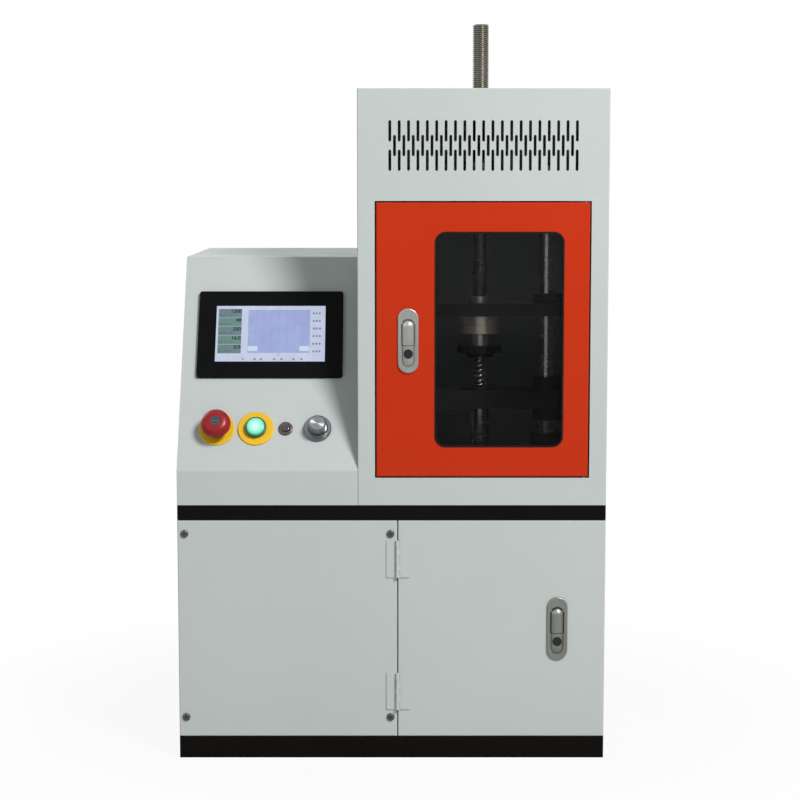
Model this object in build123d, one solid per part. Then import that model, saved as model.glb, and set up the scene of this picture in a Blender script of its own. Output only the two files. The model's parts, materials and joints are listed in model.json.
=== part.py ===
from build123d import *
import math
import os

# Spring fatigue tester: a bench cabinet with a control console and a test tower.
# The origin is the centre of the footprint on the floor, the front faces -Y and +Z is up.

# Overall casing
DEPTH = 540.0
PLINTH_HEIGHT = 30.5
CABINET_HEIGHT = 310.5
TABLE_THICKNESS = 21.0
CONSOLE_WIDTH = 253.0
CONSOLE_KNEE_HEIGHT = 48.6
CONSOLE_HEIGHT = 339.7
CONSOLE_SLOPE_RUN = 174.0
CONSOLE_BEND = 6.0
SHEET = 2.0
EDGE_BEND = 1.6
PLINTH_EDGE = 2.0
PLINTH_WALL = 3.0

# Lower cabinet
PANEL_DEPTH = 18.0
PANEL_GAP = 1.2
PANEL_END_GAP = 0.6
LOWER_DOOR_WIDTH = 291.4
POST_SIZE = 30.0
POST_WALL = 2.0
POST_SHIFT = 7.0
PANEL_SCREW_INSET = 10.0
PANEL_SCREW_TOP_INSET = 19.5
PANEL_SCREW_BOTTOM_INSET = 28.5
PANEL_SCREW_HEAD = 11.0
PANEL_SCREW_HEAD_HEIGHT = 2.6
PANEL_SCREW_CROWN = 1.8
PANEL_SCREW_SHANK = 5.0
PANEL_SCREW_HOLE = 5.4
PANEL_SCREW_LENGTH = 23.0
PANEL_SCREW_TIP_GAP = 1.0

# Surface butt hinges of the lower door
HINGE_HEIGHT = 52.5
HINGE_TOP_INSET = 55.2
HINGE_BOTTOM_INSET = 66.0
HINGE_LEAF = 1.6
HINGE_FIXED_REACH = 15.6
HINGE_MOVING_REACH = 18.0
HINGE_KNUCKLE = 6.0
HINGE_PIN = 3.2
HINGE_KNUCKLES = 5
HINGE_KNUCKLE_GAP = 0.4
HINGE_RUNNING = 0.05

# Test door in the tower
DOOR_SIDE_MARGIN = 26.0
DOOR_BOTTOM_MARGIN = 40.4
DOOR_GAP = 2.0
DOOR_DEPTH = 18.0
JAMB_DEPTH = 22.0
PIVOT_INSET = 5.0
PIVOT_PIN = 4.0
PIVOT_PIN_LENGTH = 20.0
PIVOT_PIN_REACH = 5.0
PIVOT_RUNNING = 0.1
PIVOT_BLOCK_HEIGHT = 14.0
PIVOT_BLOCK_WIDTH = 11.0
WINDOW_LEFT = 81.0
WINDOW_RIGHT = 35.0
WINDOW_BOTTOM = 41.5
WINDOW_TOP = 40.2
WINDOW_WIDTH = 179.0
WINDOW_HEIGHT = 299.3
WINDOW_CORNER = 15.0
PANE_THICKNESS = 5.0
PANE_LAP = 12.0
GASKET_WIDTH = 2.6
GASKET_PROUD = 0.8

# Vent slots above the test door and in the rear panel
GRILLE_HEIGHT = 155.6
VENT_SIDE_MARGIN = 43.0
VENT_SLOT_WIDTH = 4.0
VENT_SLOT_LENGTH = 29.0
VENT_PITCH = 12.85
VENT_ROW_PITCH = 20.0
VENT_DROP = 78.0
REAR_VENT_DROP = 161.0

# Flush locks with a pull paddle and a key
LOCK_WIDTH = 29.0
LOCK_LENGTH = 90.0
LOCK_FLANGE = 3.0
LOCK_FLANGE_ROUND = 1.5
LOCK_RIM = 2.4
LOCK_RIM_HEIGHT = 0.8
LOCK_BODY_WIDTH = 24.0
LOCK_BODY_LENGTH = 82.0
LOCK_BODY_DEPTH = 23.0
LOCK_POCKET_WIDTH = 20.0
LOCK_POCKET_TOP = 31.0
LOCK_POCKET_BOTTOM = 39.0
LOCK_POCKET_DEPTH = 10.0
LOCK_SPLIT = 7.0
LOCK_FIT = 0.2
RIDGE_WIDTH = 17.5
RIDGE_BULGE = 4.0
RIDGE_PROUD = 2.0
PADDLE_END_GAP = 2.5
PADDLE_SPLIT_GAP = 0.8
PADDLE_THICKNESS = 6.0
PADDLE_LUG_WIDTH = 9.0
PADDLE_PIVOT_INSET = 4.0
PADDLE_PIVOT_DEPTH = 2.0
PADDLE_PIN = 2.0
PADDLE_PIN_SEAT = 1.0
KEY_DROP = 18.0
KEY_DIAMETER = 13.0
KEY_PROUD = 0.3
KEY_RUNNING = 0.1
CAM_GAP = 1.0
CAM_THICKNESS = 4.0
CAM_WIDTH = 13.0
UPPER_CAM_LENGTH = 62.0
LOWER_CAM_LENGTH = 50.0
UPPER_LOCK_INSET = 44.3
UPPER_LOCK_DROP = 0.4
LOWER_LOCK_INSET = 67.0
LOWER_LOCK_RISE = 0.85
STRIKE_SLOT_HEIGHT = 66.0
STRIKE_SLOT_CLEARANCE = 1.5

# Control console
CONTROL_RISE = 63.7
ESTOP_SHARE = 0.2134
START_SHARE = 0.4308
RESET_SHARE = 0.5968
KNOB_SHARE = 0.7747
CONTROL_HOLE = 22.5
CONTROL_FIT = 0.2
LEGEND_RING_GAP = 4.0
LEGEND_RING_THICKNESS = 2.5
CONTROL_FLANGE = 30.0
CONTROL_FLANGE_HEIGHT = 6.5
CONTROL_BARREL_LENGTH = 28.0
CONTROL_NUT = 28.0
CONTROL_NUT_HEIGHT = 5.0
CONTACT_BLOCK_WIDTH = 30.0
CONTACT_BLOCK_LENGTH = 42.0
CONTACT_BLOCK_DEPTH = 26.0
ESTOP_STEM = 12.0
ESTOP_HEAD = 42.0
ESTOP_HEAD_HEIGHT = 16.0
ESTOP_UNDERSIDE = 27.7
ESTOP_RIM_HEIGHT = 4.5
ESTOP_SHOULDER = 39.9
ESTOP_SHOULDER_HEIGHT = 9.9
ESTOP_CROWN = 30.2
ESTOP_CROWN_HEIGHT = 14.4
ESTOP_FLAT = 16.8
ESTOP_TRAVEL = 4.0
CONTROL_CLEARANCE = 0.4
LENS_DIAMETER = 25.0
LENS_PROUD = 3.0
LENS_ROUND = 2.4
LENS_TRAVEL = 3.0
LENS_STEM = 13.0
LENS_SEAT = 1.5
RESET_HOLE = 16.2
RESET_BEZEL = 20.0
RESET_BEZEL_HEIGHT = 3.0
RESET_CAP = 12.0
RESET_CAP_PROUD = 2.6
RESET_CAP_ROUND = 2.2
RESET_TRAVEL = 2.0
RESET_BARREL_LENGTH = 24.0
KNOB_SKIRT = 39.0
KNOB_SKIRT_HEIGHT = 3.0
KNOB_BODY = 27.0
KNOB_FACE = 22.0
KNOB_HEIGHT = 19.0
KNOB_EDGE = 1.0
KNOB_HOLLOW = 0.5
KNOB_SHAFT = 6.0
KNOB_SHAFT_LENGTH = 20.0
KNOB_GAP = 0.5
POT_FLANGE = 27.0
POT_FLANGE_HEIGHT = 1.5
POT_BODY_LENGTH = 24.0

# Display
HMI_SHIFT = 0.5
HMI_RISE = 211.0
HMI_SIDE_MARGIN = 22.5
HMI_HEIGHT = 137.0
HMI_BEZEL = 6.0
HMI_CORNER = 4.0
SCREEN_SIDE_FRAME = 25.5
SCREEN_END_FRAME = 23.75
SCREEN_LAP = 2.0
SCREEN_SINK = 1.2
SCREEN_THICKNESS = 1.8
SCREEN_FIT = 0.2
HMI_HOUSING_MARGIN = 10.0
HMI_HOUSING_DEPTH = 34.0
HMI_HOUSING_FIT = 1.0

# Test train on its vertical axis
AXIS_SHIFT = 3.5
AXIS_FROM_FRONT = 200.0
COLUMN_INSET = 28.0
COLUMN_DIAMETER = 24.0
COLUMN_TOP_DIAMETER = 20.0
COLUMN_TOP_LENGTH = 44.0
COLUMN_NUT = 34.0
COLUMN_NUT_HEIGHT = 14.0
CROSSHEAD_SIDE_GAP = 45.5
CROSSHEAD_DEPTH = 70.0
CROSSHEAD_CORNER = 14.0
BUSH_DIAMETER = 42.0
BASE_BLOCK_HEIGHT = 30.0
BASE_BOSS_HEIGHT = 78.0
BASE_BOSS_DIAMETER = 50.0
RAM_BOSS_HEIGHT = 48.0
LOWER_CROSSHEAD_BOTTOM = 116.0
LOWER_CROSSHEAD_THICKNESS = 27.0
LOWER_BUSH_BOTTOM = 97.0
LOWER_BUSH_LENGTH = 64.0
PLATEN_DIAMETER = 56.0
PLATEN_THICKNESS = 4.0
SPRING_OUTSIDE = 20.0
SPRING_WIRE = 2.6
SPRING_LENGTH = 43.7
SPRING_GAP = 0.3
SPRING_ACTIVE_TURNS = 4.9
SPRING_END_TURNS = 1.0
SPRING_END_PITCH = 1.04
SPRING_GRIND = 0.55
SPIGOT_CLEARANCE = 0.5
SPIGOT_HEIGHT = 5.0
SPIGOT_CHAMFER = 0.8
SEAT_DIAMETER = 66.0
SEAT_LOWER_DIAMETER = 40.0
SEAT_LOWER_HEIGHT = 6.0
SEAT_HEIGHT = 17.0
SEAT_HOLE = 8.0
SEAT_HOLE_OFFSET = 12.0
SEAT_HOLE_DEPTH = 20.0
ADAPTER_DIAMETER = 26.0
ADAPTER_HEIGHT = 17.5
LOAD_CELL_DIAMETER = 58.0
LOAD_CELL_HEIGHT = 27.5
LOAD_CELL_GROOVE = 3.0
LOAD_CELL_GROOVE_HEIGHT = 4.0
LOAD_CELL_CHAMFER = 1.0
UPPER_CROSSHEAD_THICKNESS = 18.0
UPPER_BUSH_HEIGHT = 14.0
SCREW_DIAMETER = 24.0
SCREW_ABOVE_ROOF = 100.0
LOCK_COLLAR_DIAMETER = 33.0
LOCK_COLLAR_HEIGHT = 10.0
CROWN_FROM_TOP = 149.0
CROWN_THICKNESS = 25.0
ADJUSTING_NUT_DIAMETER = 60.0
ADJUSTING_NUT_HEIGHT = 25.0
ADJUSTING_BAR_HOLE = 8.0
ADJUSTING_BAR_HOLES = 6
ADJUSTING_BAR_DEPTH = 12.0
GROMMET_OUTSIDE = 40.0
GROMMET_HOLE = 30.0
GROMMET_THICKNESS = 2.0
GROMMET_CLEARANCE = 1.0
RUNNING_FIT = 0.05
SEAT_FIT = 0.02

# Drive in the lower cabinet
RAM_DIAMETER = 30.0
RAM_BORE = 22.0
RAM_BORE_LENGTH = 120.0
TABLE_HOLE = 36.0
BALL_NUT_TOP = 210.0
BALL_NUT_FLANGE = 50.0
BALL_NUT_FLANGE_THICKNESS = 12.0
BALL_NUT_BODY = 36.0
BALL_NUT_BODY_LENGTH = 36.0
BALL_SCREW_DIAMETER = 20.0
BALL_SCREW_LENGTH = 268.0
DRIVE_PLATE_RISE = 60.0
DRIVE_PLATE_THICKNESS = 15.0
DRIVE_PLATE_WALL_GAP = 13.0
DRIVE_PLATE_DEPTH = 120.0
DRIVE_PLATE_OVERHANG = 55.0
DRIVE_POST = 18.0
DRIVE_POST_INSET = 14.0
BEARING_FLANGE = 84.0
BEARING_FLANGE_THICKNESS = 12.0
BEARING_BODY = 62.0
BEARING_BODY_LENGTH = 34.0
PULLEY_CENTRES = 95.0
PULLEY_WIDTH = 18.0
PULLEY_RISE = 34.0
TOOTH_PITCH = 5.0
DRIVEN_TEETH = 36
DRIVE_TEETH = 18
TOOTH_DEPTH = 1.6
BELT_THICKNESS = 2.4
BELT_WIDTH = 15.0
BELT_CLEARANCE = 0.3
MOTOR_SHAFT = 14.0
MOTOR_SIZE = 60.0
MOTOR_LENGTH = 112.0
MOTOR_CORNER = 6.0
ENCODER_SIZE = 46.0
ENCODER_LENGTH = 26.0
CONNECTOR_SIZE = 18.0

# Electrical gear behind the left panel
GEAR_POST_GAP = 3.8
GEAR_PARTITION_GAP = 34.8
GEAR_PLATE_RISE = 60.0
GEAR_PLATE_TOP_GAP = 40.5
GEAR_STANDOFF = 12.0
GEAR_STANDOFF_WIDTH = 8.0
SERVO_DRIVE_WIDTH = 55.0
SERVO_DRIVE_END_GAP = 20.0
SERVO_DRIVE_DEPTH = 130.0
SERVO_DRIVE_SHARE = 0.75
SUPPLY_WIDTH = 98.0
SUPPLY_FOOT_GAP = 38.0
SUPPLY_DEPTH = 42.0
SUPPLY_SHARE = 0.3
INLET_WIDTH = 48.0
INLET_HEIGHT = 30.0
INLET_DEPTH = 24.0
INLET_RISE = 20.0
INLET_FROM_LEFT = 80.0
INLET_FLANGE = 4.0
INLET_PROUD = 2.5

# Levels and places that follow from the sizes above
DOOR_WIDTH = WINDOW_LEFT + WINDOW_WIDTH + WINDOW_RIGHT
DOOR_HEIGHT = WINDOW_BOTTOM + WINDOW_HEIGHT + WINDOW_TOP
TOWER_WIDTH = DOOR_WIDTH + 2 * DOOR_SIDE_MARGIN
TOWER_HEIGHT = DOOR_BOTTOM_MARGIN + DOOR_HEIGHT + GRILLE_HEIGHT
WIDTH = CONSOLE_WIDTH + TOWER_WIDTH
LEFT = -WIDTH / 2
RIGHT = WIDTH / 2
FRONT = -DEPTH / 2
BACK = DEPTH / 2
CABINET_TOP = PLINTH_HEIGHT + CABINET_HEIGHT
TABLE_TOP = CABINET_TOP + TABLE_THICKNESS
TOWER_TOP = TABLE_TOP + TOWER_HEIGHT
TOWER_LEFT = RIGHT - TOWER_WIDTH
SEAM_X = RIGHT - LOWER_DOOR_WIDTH
POST_BACK = FRONT + PANEL_DEPTH + POST_SIZE
DOOR_LEFT = TOWER_LEFT + DOOR_SIDE_MARGIN
DOOR_RIGHT = DOOR_LEFT + DOOR_WIDTH
DOOR_BOTTOM = TABLE_TOP + DOOR_BOTTOM_MARGIN
DOOR_TOP = DOOR_BOTTOM + DOOR_HEIGHT
HINGE_AXIS_Y = FRONT - HINGE_KNUCKLE / 2
HINGE_UPPER_CENTRE = CABINET_TOP - HINGE_TOP_INSET
HINGE_LOWER_CENTRE = PLINTH_HEIGHT + HINGE_BOTTOM_INSET
PIVOT_X = DOOR_RIGHT - PIVOT_INSET
PIVOT_Y = FRONT + PIVOT_INSET
WINDOW_CENTRE_X = DOOR_LEFT + WINDOW_LEFT + WINDOW_WIDTH / 2
WINDOW_CENTRE_Z = DOOR_BOTTOM + WINDOW_BOTTOM + WINDOW_HEIGHT / 2
UPPER_LOCK = (DOOR_LEFT + UPPER_LOCK_INSET, DOOR_BOTTOM + DOOR_HEIGHT / 2 - UPPER_LOCK_DROP)
LOWER_LOCK = (RIGHT - LOWER_LOCK_INSET, PLINTH_HEIGHT + CABINET_HEIGHT / 2 + LOWER_LOCK_RISE)
AXIS_X = RIGHT - TOWER_WIDTH / 2 + AXIS_SHIFT
AXIS_Y = FRONT + AXIS_FROM_FRONT
CROSSHEAD_LENGTH = TOWER_WIDTH - 2 * CROSSHEAD_SIDE_GAP
COLUMN_SPACING = CROSSHEAD_LENGTH - 2 * COLUMN_INSET
LOWER_CROSSHEAD_TOP = TABLE_TOP + LOWER_CROSSHEAD_BOTTOM + LOWER_CROSSHEAD_THICKNESS
PLATEN_TOP = LOWER_CROSSHEAD_TOP + PLATEN_THICKNESS
SEAT_BOTTOM = PLATEN_TOP + SPRING_LENGTH + SPRING_GAP
ADAPTER_BOTTOM = SEAT_BOTTOM + SEAT_HEIGHT
LOAD_CELL_BOTTOM = ADAPTER_BOTTOM + ADAPTER_HEIGHT
UPPER_CROSSHEAD_BOTTOM = LOAD_CELL_BOTTOM + LOAD_CELL_HEIGHT
UPPER_CROSSHEAD_TOP = UPPER_CROSSHEAD_BOTTOM + UPPER_CROSSHEAD_THICKNESS
CROWN_BOTTOM = TOWER_TOP - CROWN_FROM_TOP
CROWN_TOP = CROWN_BOTTOM + CROWN_THICKNESS
DRIVE_PLATE_BOTTOM = PLINTH_HEIGHT + DRIVE_PLATE_RISE
DRIVE_PLATE_TOP = DRIVE_PLATE_BOTTOM + DRIVE_PLATE_THICKNESS
PULLEY_BOTTOM = PLINTH_HEIGHT + PULLEY_RISE
BALL_SCREW_BOTTOM = PULLEY_BOTTOM - SHEET
NUT_TOP = PLINTH_HEIGHT + BALL_NUT_TOP
MOTOR_X = AXIS_X + PULLEY_CENTRES
LOCK_REAR = FRONT + LOCK_BODY_DEPTH
RIDGE_FRONT = FRONT - LOCK_FLANGE - RIDGE_PROUD
RIDGE_FOOT = RIDGE_FRONT + RIDGE_BULGE
RIDGE_END = RIDGE_WIDTH / 2
RIDGE_RADIUS = (RIDGE_END ** 2 + RIDGE_BULGE ** 2) / (2 * RIDGE_BULGE)
ESTOP_PLACE = CONSOLE_WIDTH * ESTOP_SHARE
START_PLACE = CONSOLE_WIDTH * START_SHARE
RESET_PLACE = CONSOLE_WIDTH * RESET_SHARE
KNOB_PLACE = CONSOLE_WIDTH * KNOB_SHARE
LEGEND_RING = START_PLACE - ESTOP_PLACE - LEGEND_RING_GAP
HMI_PLACE = CONSOLE_WIDTH / 2 - HMI_SHIFT
HMI_WIDTH = CONSOLE_WIDTH - 2 * HMI_SIDE_MARGIN
SCREEN_WIDTH = HMI_WIDTH - 2 * SCREEN_SIDE_FRAME
SCREEN_HEIGHT = HMI_HEIGHT - 2 * SCREEN_END_FRAME
GEAR_PLATE_HEIGHT = CABINET_HEIGHT - GEAR_PLATE_RISE - GEAR_PLATE_TOP_GAP

# The sloped panel: local x runs right, local y up the slope and local z out of it
SLOPE_RISE = CONSOLE_HEIGHT - CONSOLE_KNEE_HEIGHT
SLOPE_LENGTH = math.hypot(CONSOLE_SLOPE_RUN, SLOPE_RISE)
SLOPE_NORMAL = (0, -SLOPE_RISE / SLOPE_LENGTH, CONSOLE_SLOPE_RUN / SLOPE_LENGTH)
SLOPE_FOOT = (LEFT, FRONT, TABLE_TOP + CONSOLE_KNEE_HEIGHT)
PANEL_PLANE = Plane(origin=SLOPE_FOOT, x_dir=(1, 0, 0), z_dir=SLOPE_NORMAL)


def block(low, high):
    """Box between two opposite corners."""
    sizes = [top - bottom for bottom, top in zip(low, high)]
    centre = [(top + bottom) / 2 for bottom, top in zip(low, high)]
    return Pos(*centre) * Box(*sizes)


def rod(diameter, bottom, top, x=0.0, y=0.0):
    """Upright cylinder between two heights."""
    return Pos(x, y, (bottom + top) / 2) * Cylinder(diameter / 2, top - bottom)


def front_extrude(outline, front, back, x, z):
    """Outline drawn in the XZ plane, run from the depth front to the depth back."""
    placed = Pos(x, back, z) * (Plane.XZ * outline)
    return extrude(placed, amount=back - front)


def turned(points, x=0.0, y=0.0):
    """Solid of revolution about an upright axis, from its radius and height outline."""
    outline = make_face(Plane.XZ * Polyline(*points, close=True))
    return Pos(x, y, 0) * revolve(outline, axis=Axis.Z)


def on_panel(solid, place, rise):
    """A solid drawn about the local z axis, set on the sloped panel."""
    return PANEL_PLANE * (Pos(place, rise, 0) * solid)


def folded_pan(low, high, bend):
    """Sheet panel with its edges folded back and its front edges rounded."""
    outer = block(low, high)
    front_edges = outer.faces().sort_by(Axis.Y)[0].edges()
    outer = fillet(front_edges, bend)
    hollow_low = (low[0] + SHEET, low[1] + SHEET, low[2] + SHEET)
    hollow_high = (high[0] - SHEET, high[1] + DEPTH, high[2] - SHEET)
    return outer - block(hollow_low, hollow_high)


def make_base_plinth():
    """Folded steel tray, open below."""
    tray = block((LEFT, FRONT, 0), (RIGHT, BACK, PLINTH_HEIGHT))
    tray = fillet(tray.edges().filter_by(Axis.Z), PLINTH_EDGE)
    hollow_low = (LEFT + PLINTH_WALL, FRONT + PLINTH_WALL, 0)
    hollow_high = (RIGHT - PLINTH_WALL, BACK - PLINTH_WALL, PLINTH_HEIGHT - PLINTH_WALL)
    return tray - block(hollow_low, hollow_high)


def make_cabinet_wrap():
    outer = block((LEFT, FRONT + PANEL_DEPTH, PLINTH_HEIGHT), (RIGHT, BACK, CABINET_TOP))
    outer = fillet(outer.faces().sort_by(Axis.Y)[-1].edges().filter_by(Axis.Z), EDGE_BEND)
    inner = block((LEFT + SHEET, FRONT, PLINTH_HEIGHT), (RIGHT - SHEET, BACK - SHEET, CABINET_TOP))
    hole_low = (LEFT + INLET_FROM_LEFT - INLET_WIDTH / 2, BACK - INLET_DEPTH, PLINTH_HEIGHT + INLET_RISE)
    hole_high = (LEFT + INLET_FROM_LEFT + INLET_WIDTH / 2, BACK, PLINTH_HEIGHT + INLET_RISE + INLET_HEIGHT)
    return outer - inner - block(hole_low, hole_high)


def post_places():
    """Lower corner of each upright post: four corners and one behind the seam of the front panels."""
    left = LEFT + SHEET
    right = RIGHT - SHEET - POST_SIZE
    middle = SEAM_X - POST_SHIFT - POST_SIZE / 2
    front = FRONT + PANEL_DEPTH
    back = BACK - SHEET - POST_SIZE
    return [(left, front), (middle, front), (right, front), (left, back), (right, back)]


def make_cabinet_posts():
    posts = []
    for x, y in post_places():
        tube = block((x, y, PLINTH_HEIGHT), (x + POST_SIZE, y + POST_SIZE, CABINET_TOP))
        core_low = (x + POST_WALL, y + POST_WALL, PLINTH_HEIGHT)
        core_high = (x + POST_SIZE - POST_WALL, y + POST_SIZE - POST_WALL, CABINET_TOP)
        posts.append(tube - block(core_low, core_high))
    posts = Part() + posts
    for x, z in panel_screw_places():
        reach = FRONT + PANEL_SCREW_LENGTH + PANEL_SCREW_TIP_GAP
        posts -= front_extrude(Circle(PANEL_SCREW_HOLE / 2), FRONT, reach, x, z)
    return posts - make_strike_slot()


def make_strike_slot():
    """Slot in the right front post that takes the end of the lower lock's cam."""
    post_left = RIGHT - SHEET - POST_SIZE
    key_z = LOWER_LOCK[1] - KEY_DROP
    cam_front = LOCK_REAR + CAM_GAP
    slot_front = cam_front - STRIKE_SLOT_CLEARANCE
    slot_back = cam_front + CAM_THICKNESS + STRIKE_SLOT_CLEARANCE
    low = (post_left - POST_WALL, slot_front, key_z - STRIKE_SLOT_HEIGHT + CAM_WIDTH)
    high = (post_left + POST_SIZE / 2, slot_back, key_z + CAM_WIDTH)
    return block(low, high)


def make_cabinet_partition():
    x = SEAM_X - POST_SHIFT
    return block((x - SHEET / 2, POST_BACK, PLINTH_HEIGHT), (x + SHEET / 2, BACK - SHEET, CABINET_TOP))


def panel_screw_places():
    """Centres of the four screws that hold the left front panel."""
    left = LEFT + PANEL_SCREW_INSET
    right = SEAM_X - PANEL_SCREW_INSET
    top = CABINET_TOP - PANEL_SCREW_TOP_INSET
    bottom = PLINTH_HEIGHT + PANEL_SCREW_BOTTOM_INSET
    return [(left, top), (right, top), (left, bottom), (right, bottom)]


def make_left_front_panel():
    low = (LEFT, FRONT, PLINTH_HEIGHT + PANEL_END_GAP)
    high = (SEAM_X - PANEL_GAP / 2, FRONT + PANEL_DEPTH, CABINET_TOP - PANEL_END_GAP)
    panel = folded_pan(low, high, EDGE_BEND)
    for x, z in panel_screw_places():
        panel -= front_extrude(Circle(PANEL_SCREW_HOLE / 2), FRONT, FRONT + SHEET, x, z)
    return panel


def make_panel_screws():
    screws = []
    for x, z in panel_screw_places():
        head = front_extrude(Circle(PANEL_SCREW_HEAD / 2), FRONT - PANEL_SCREW_HEAD_HEIGHT, FRONT, x, z)
        head = fillet(head.faces().sort_by(Axis.Y)[0].edges(), PANEL_SCREW_CROWN)
        shank = front_extrude(Circle(PANEL_SCREW_SHANK / 2), FRONT, FRONT + PANEL_SCREW_LENGTH, x, z)
        screws.append(head + shank)
    return Part() + screws


def make_table_plate():
    plate = block((LEFT, FRONT, CABINET_TOP), (RIGHT, BACK, TABLE_TOP))
    plate = fillet(plate.edges().filter_by(Axis.Z), PLINTH_EDGE)
    return plate - rod(TABLE_HOLE, CABINET_TOP, TABLE_TOP, AXIS_X, AXIS_Y)


def make_lower_door():
    low = (SEAM_X + PANEL_GAP / 2, FRONT, PLINTH_HEIGHT + PANEL_END_GAP)
    high = (RIGHT, FRONT + PANEL_DEPTH, CABINET_TOP - PANEL_END_GAP)
    door = folded_pan(low, high, EDGE_BEND)
    return door - lock_hole(LOWER_LOCK)


def lock_hole(centre):
    """Hole in a door sheet for the body of a lock."""
    outline = lock_outline(LOCK_BODY_LENGTH + LOCK_FIT, LOCK_BODY_WIDTH + LOCK_FIT)
    return front_extrude(outline, FRONT, FRONT + SHEET, *centre)


def hinge_knuckles(centre, wanted):
    """The barrel sections of one leaf: every other one, from the top."""
    pitch = HINGE_HEIGHT / HINGE_KNUCKLES
    bottom = centre - HINGE_HEIGHT / 2
    barrels = []
    for index in range(HINGE_KNUCKLES):
        if index % 2 == wanted:
            low = bottom + index * pitch + HINGE_KNUCKLE_GAP / 2
            high = bottom + (index + 1) * pitch - HINGE_KNUCKLE_GAP / 2
            barrels.append((low, high))
    return barrels


def hinge_leaf(centre, side, reach, wanted, bore):
    """One leaf of a butt hinge with its barrel sections."""
    bottom = centre - HINGE_HEIGHT / 2
    leaf_low = (SEAM_X + min(0, side * reach), FRONT - HINGE_LEAF, bottom)
    leaf_high = (SEAM_X + max(0, side * reach), FRONT, bottom + HINGE_HEIGHT)
    leaf = block(leaf_low, leaf_high)
    corner_edges = leaf.edges().filter_by(Axis.Y)
    far_edges = corner_edges.sort_by(Axis.X)[-2:] if side > 0 else corner_edges.sort_by(Axis.X)[:2]
    leaf = fillet(far_edges, SHEET)
    clear = HINGE_KNUCKLE + 2 * HINGE_KNUCKLE_GAP
    other = hinge_knuckles(centre, 1 - wanted)
    for low, high in other:
        leaf -= rod(clear, low - HINGE_KNUCKLE_GAP, high + HINGE_KNUCKLE_GAP, SEAM_X, HINGE_AXIS_Y)
        notch_low = (SEAM_X - clear / 2, FRONT - HINGE_LEAF, low - HINGE_KNUCKLE_GAP)
        notch_high = (SEAM_X + clear / 2, FRONT, high + HINGE_KNUCKLE_GAP)
        leaf -= block(notch_low, notch_high)
    for low, high in hinge_knuckles(centre, wanted):
        leaf += rod(HINGE_KNUCKLE, low, high, SEAM_X, HINGE_AXIS_Y)
    other_side_low = (SEAM_X - side * WIDTH if side > 0 else SEAM_X, FRONT - HINGE_LEAF, 0)
    other_side_high = (SEAM_X if side > 0 else SEAM_X + WIDTH, FRONT + SHEET, CABINET_TOP)
    leaf -= block(other_side_low, other_side_high) - rod(HINGE_KNUCKLE, 0, CABINET_TOP, SEAM_X, HINGE_AXIS_Y)
    return leaf - rod(bore, 0, CABINET_TOP, SEAM_X, HINGE_AXIS_Y)


def make_hinge_fixed_leaves():
    leaves = []
    for centre in (HINGE_UPPER_CENTRE, HINGE_LOWER_CENTRE):
        leaf = hinge_leaf(centre, -1, HINGE_FIXED_REACH, 0, HINGE_PIN)
        pin = rod(HINGE_PIN, centre - HINGE_HEIGHT / 2, centre + HINGE_HEIGHT / 2, SEAM_X, HINGE_AXIS_Y)
        leaves.append(leaf + pin)
    return Part() + leaves


def make_hinge_moving_leaves():
    leaves = []
    for centre in (HINGE_UPPER_CENTRE, HINGE_LOWER_CENTRE):
        bore = HINGE_PIN + 2 * HINGE_RUNNING
        leaves.append(hinge_leaf(centre, 1, HINGE_MOVING_REACH, 1, bore))
    return Part() + leaves


def lock_outline(length, width):
    return SlotOverall(length, width, rotation=90)


def lock_part(centre, low, high):
    """Block round the lock between two heights above its centre, to keep one part of a form."""
    x, z = centre
    return block((x - LOCK_WIDTH, RIDGE_FRONT, z + low), (x + LOCK_WIDTH, LOCK_REAR, z + high))


def round_bar(radius, bottom, top):
    """Upright round bar with half-round ends, whose centres are at the two heights."""
    slant = radius * math.sqrt(0.5)
    sides = [
        ThreePointArc((0, top + radius), (slant, top + slant), (radius, top)),
        Line((radius, top), (radius, bottom)),
        ThreePointArc((radius, bottom), (slant, bottom - slant), (0, bottom - radius)),
        Line((0, bottom - radius), (0, top + radius)),
    ]
    outline = make_face(Plane.XZ * (Curve() + sides))
    return revolve(outline, axis=Axis.Z)


def lock_ridge(centre, back):
    """Half-round ridge along the lock, from which both the paddle and the land of the key are cut."""
    x, z = centre
    top = z + LOCK_POCKET_TOP - PADDLE_END_GAP
    bottom = z - LOCK_POCKET_BOTTOM + PADDLE_END_GAP
    bar = round_bar(RIDGE_RADIUS, bottom + RIDGE_END, top - RIDGE_END)
    bar = Pos(x, RIDGE_FRONT + RIDGE_RADIUS, 0) * bar
    outline = lock_outline(top - bottom, RIDGE_WIDTH)
    return bar & front_extrude(outline, RIDGE_FRONT, back, x, (top + bottom) / 2)


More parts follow.
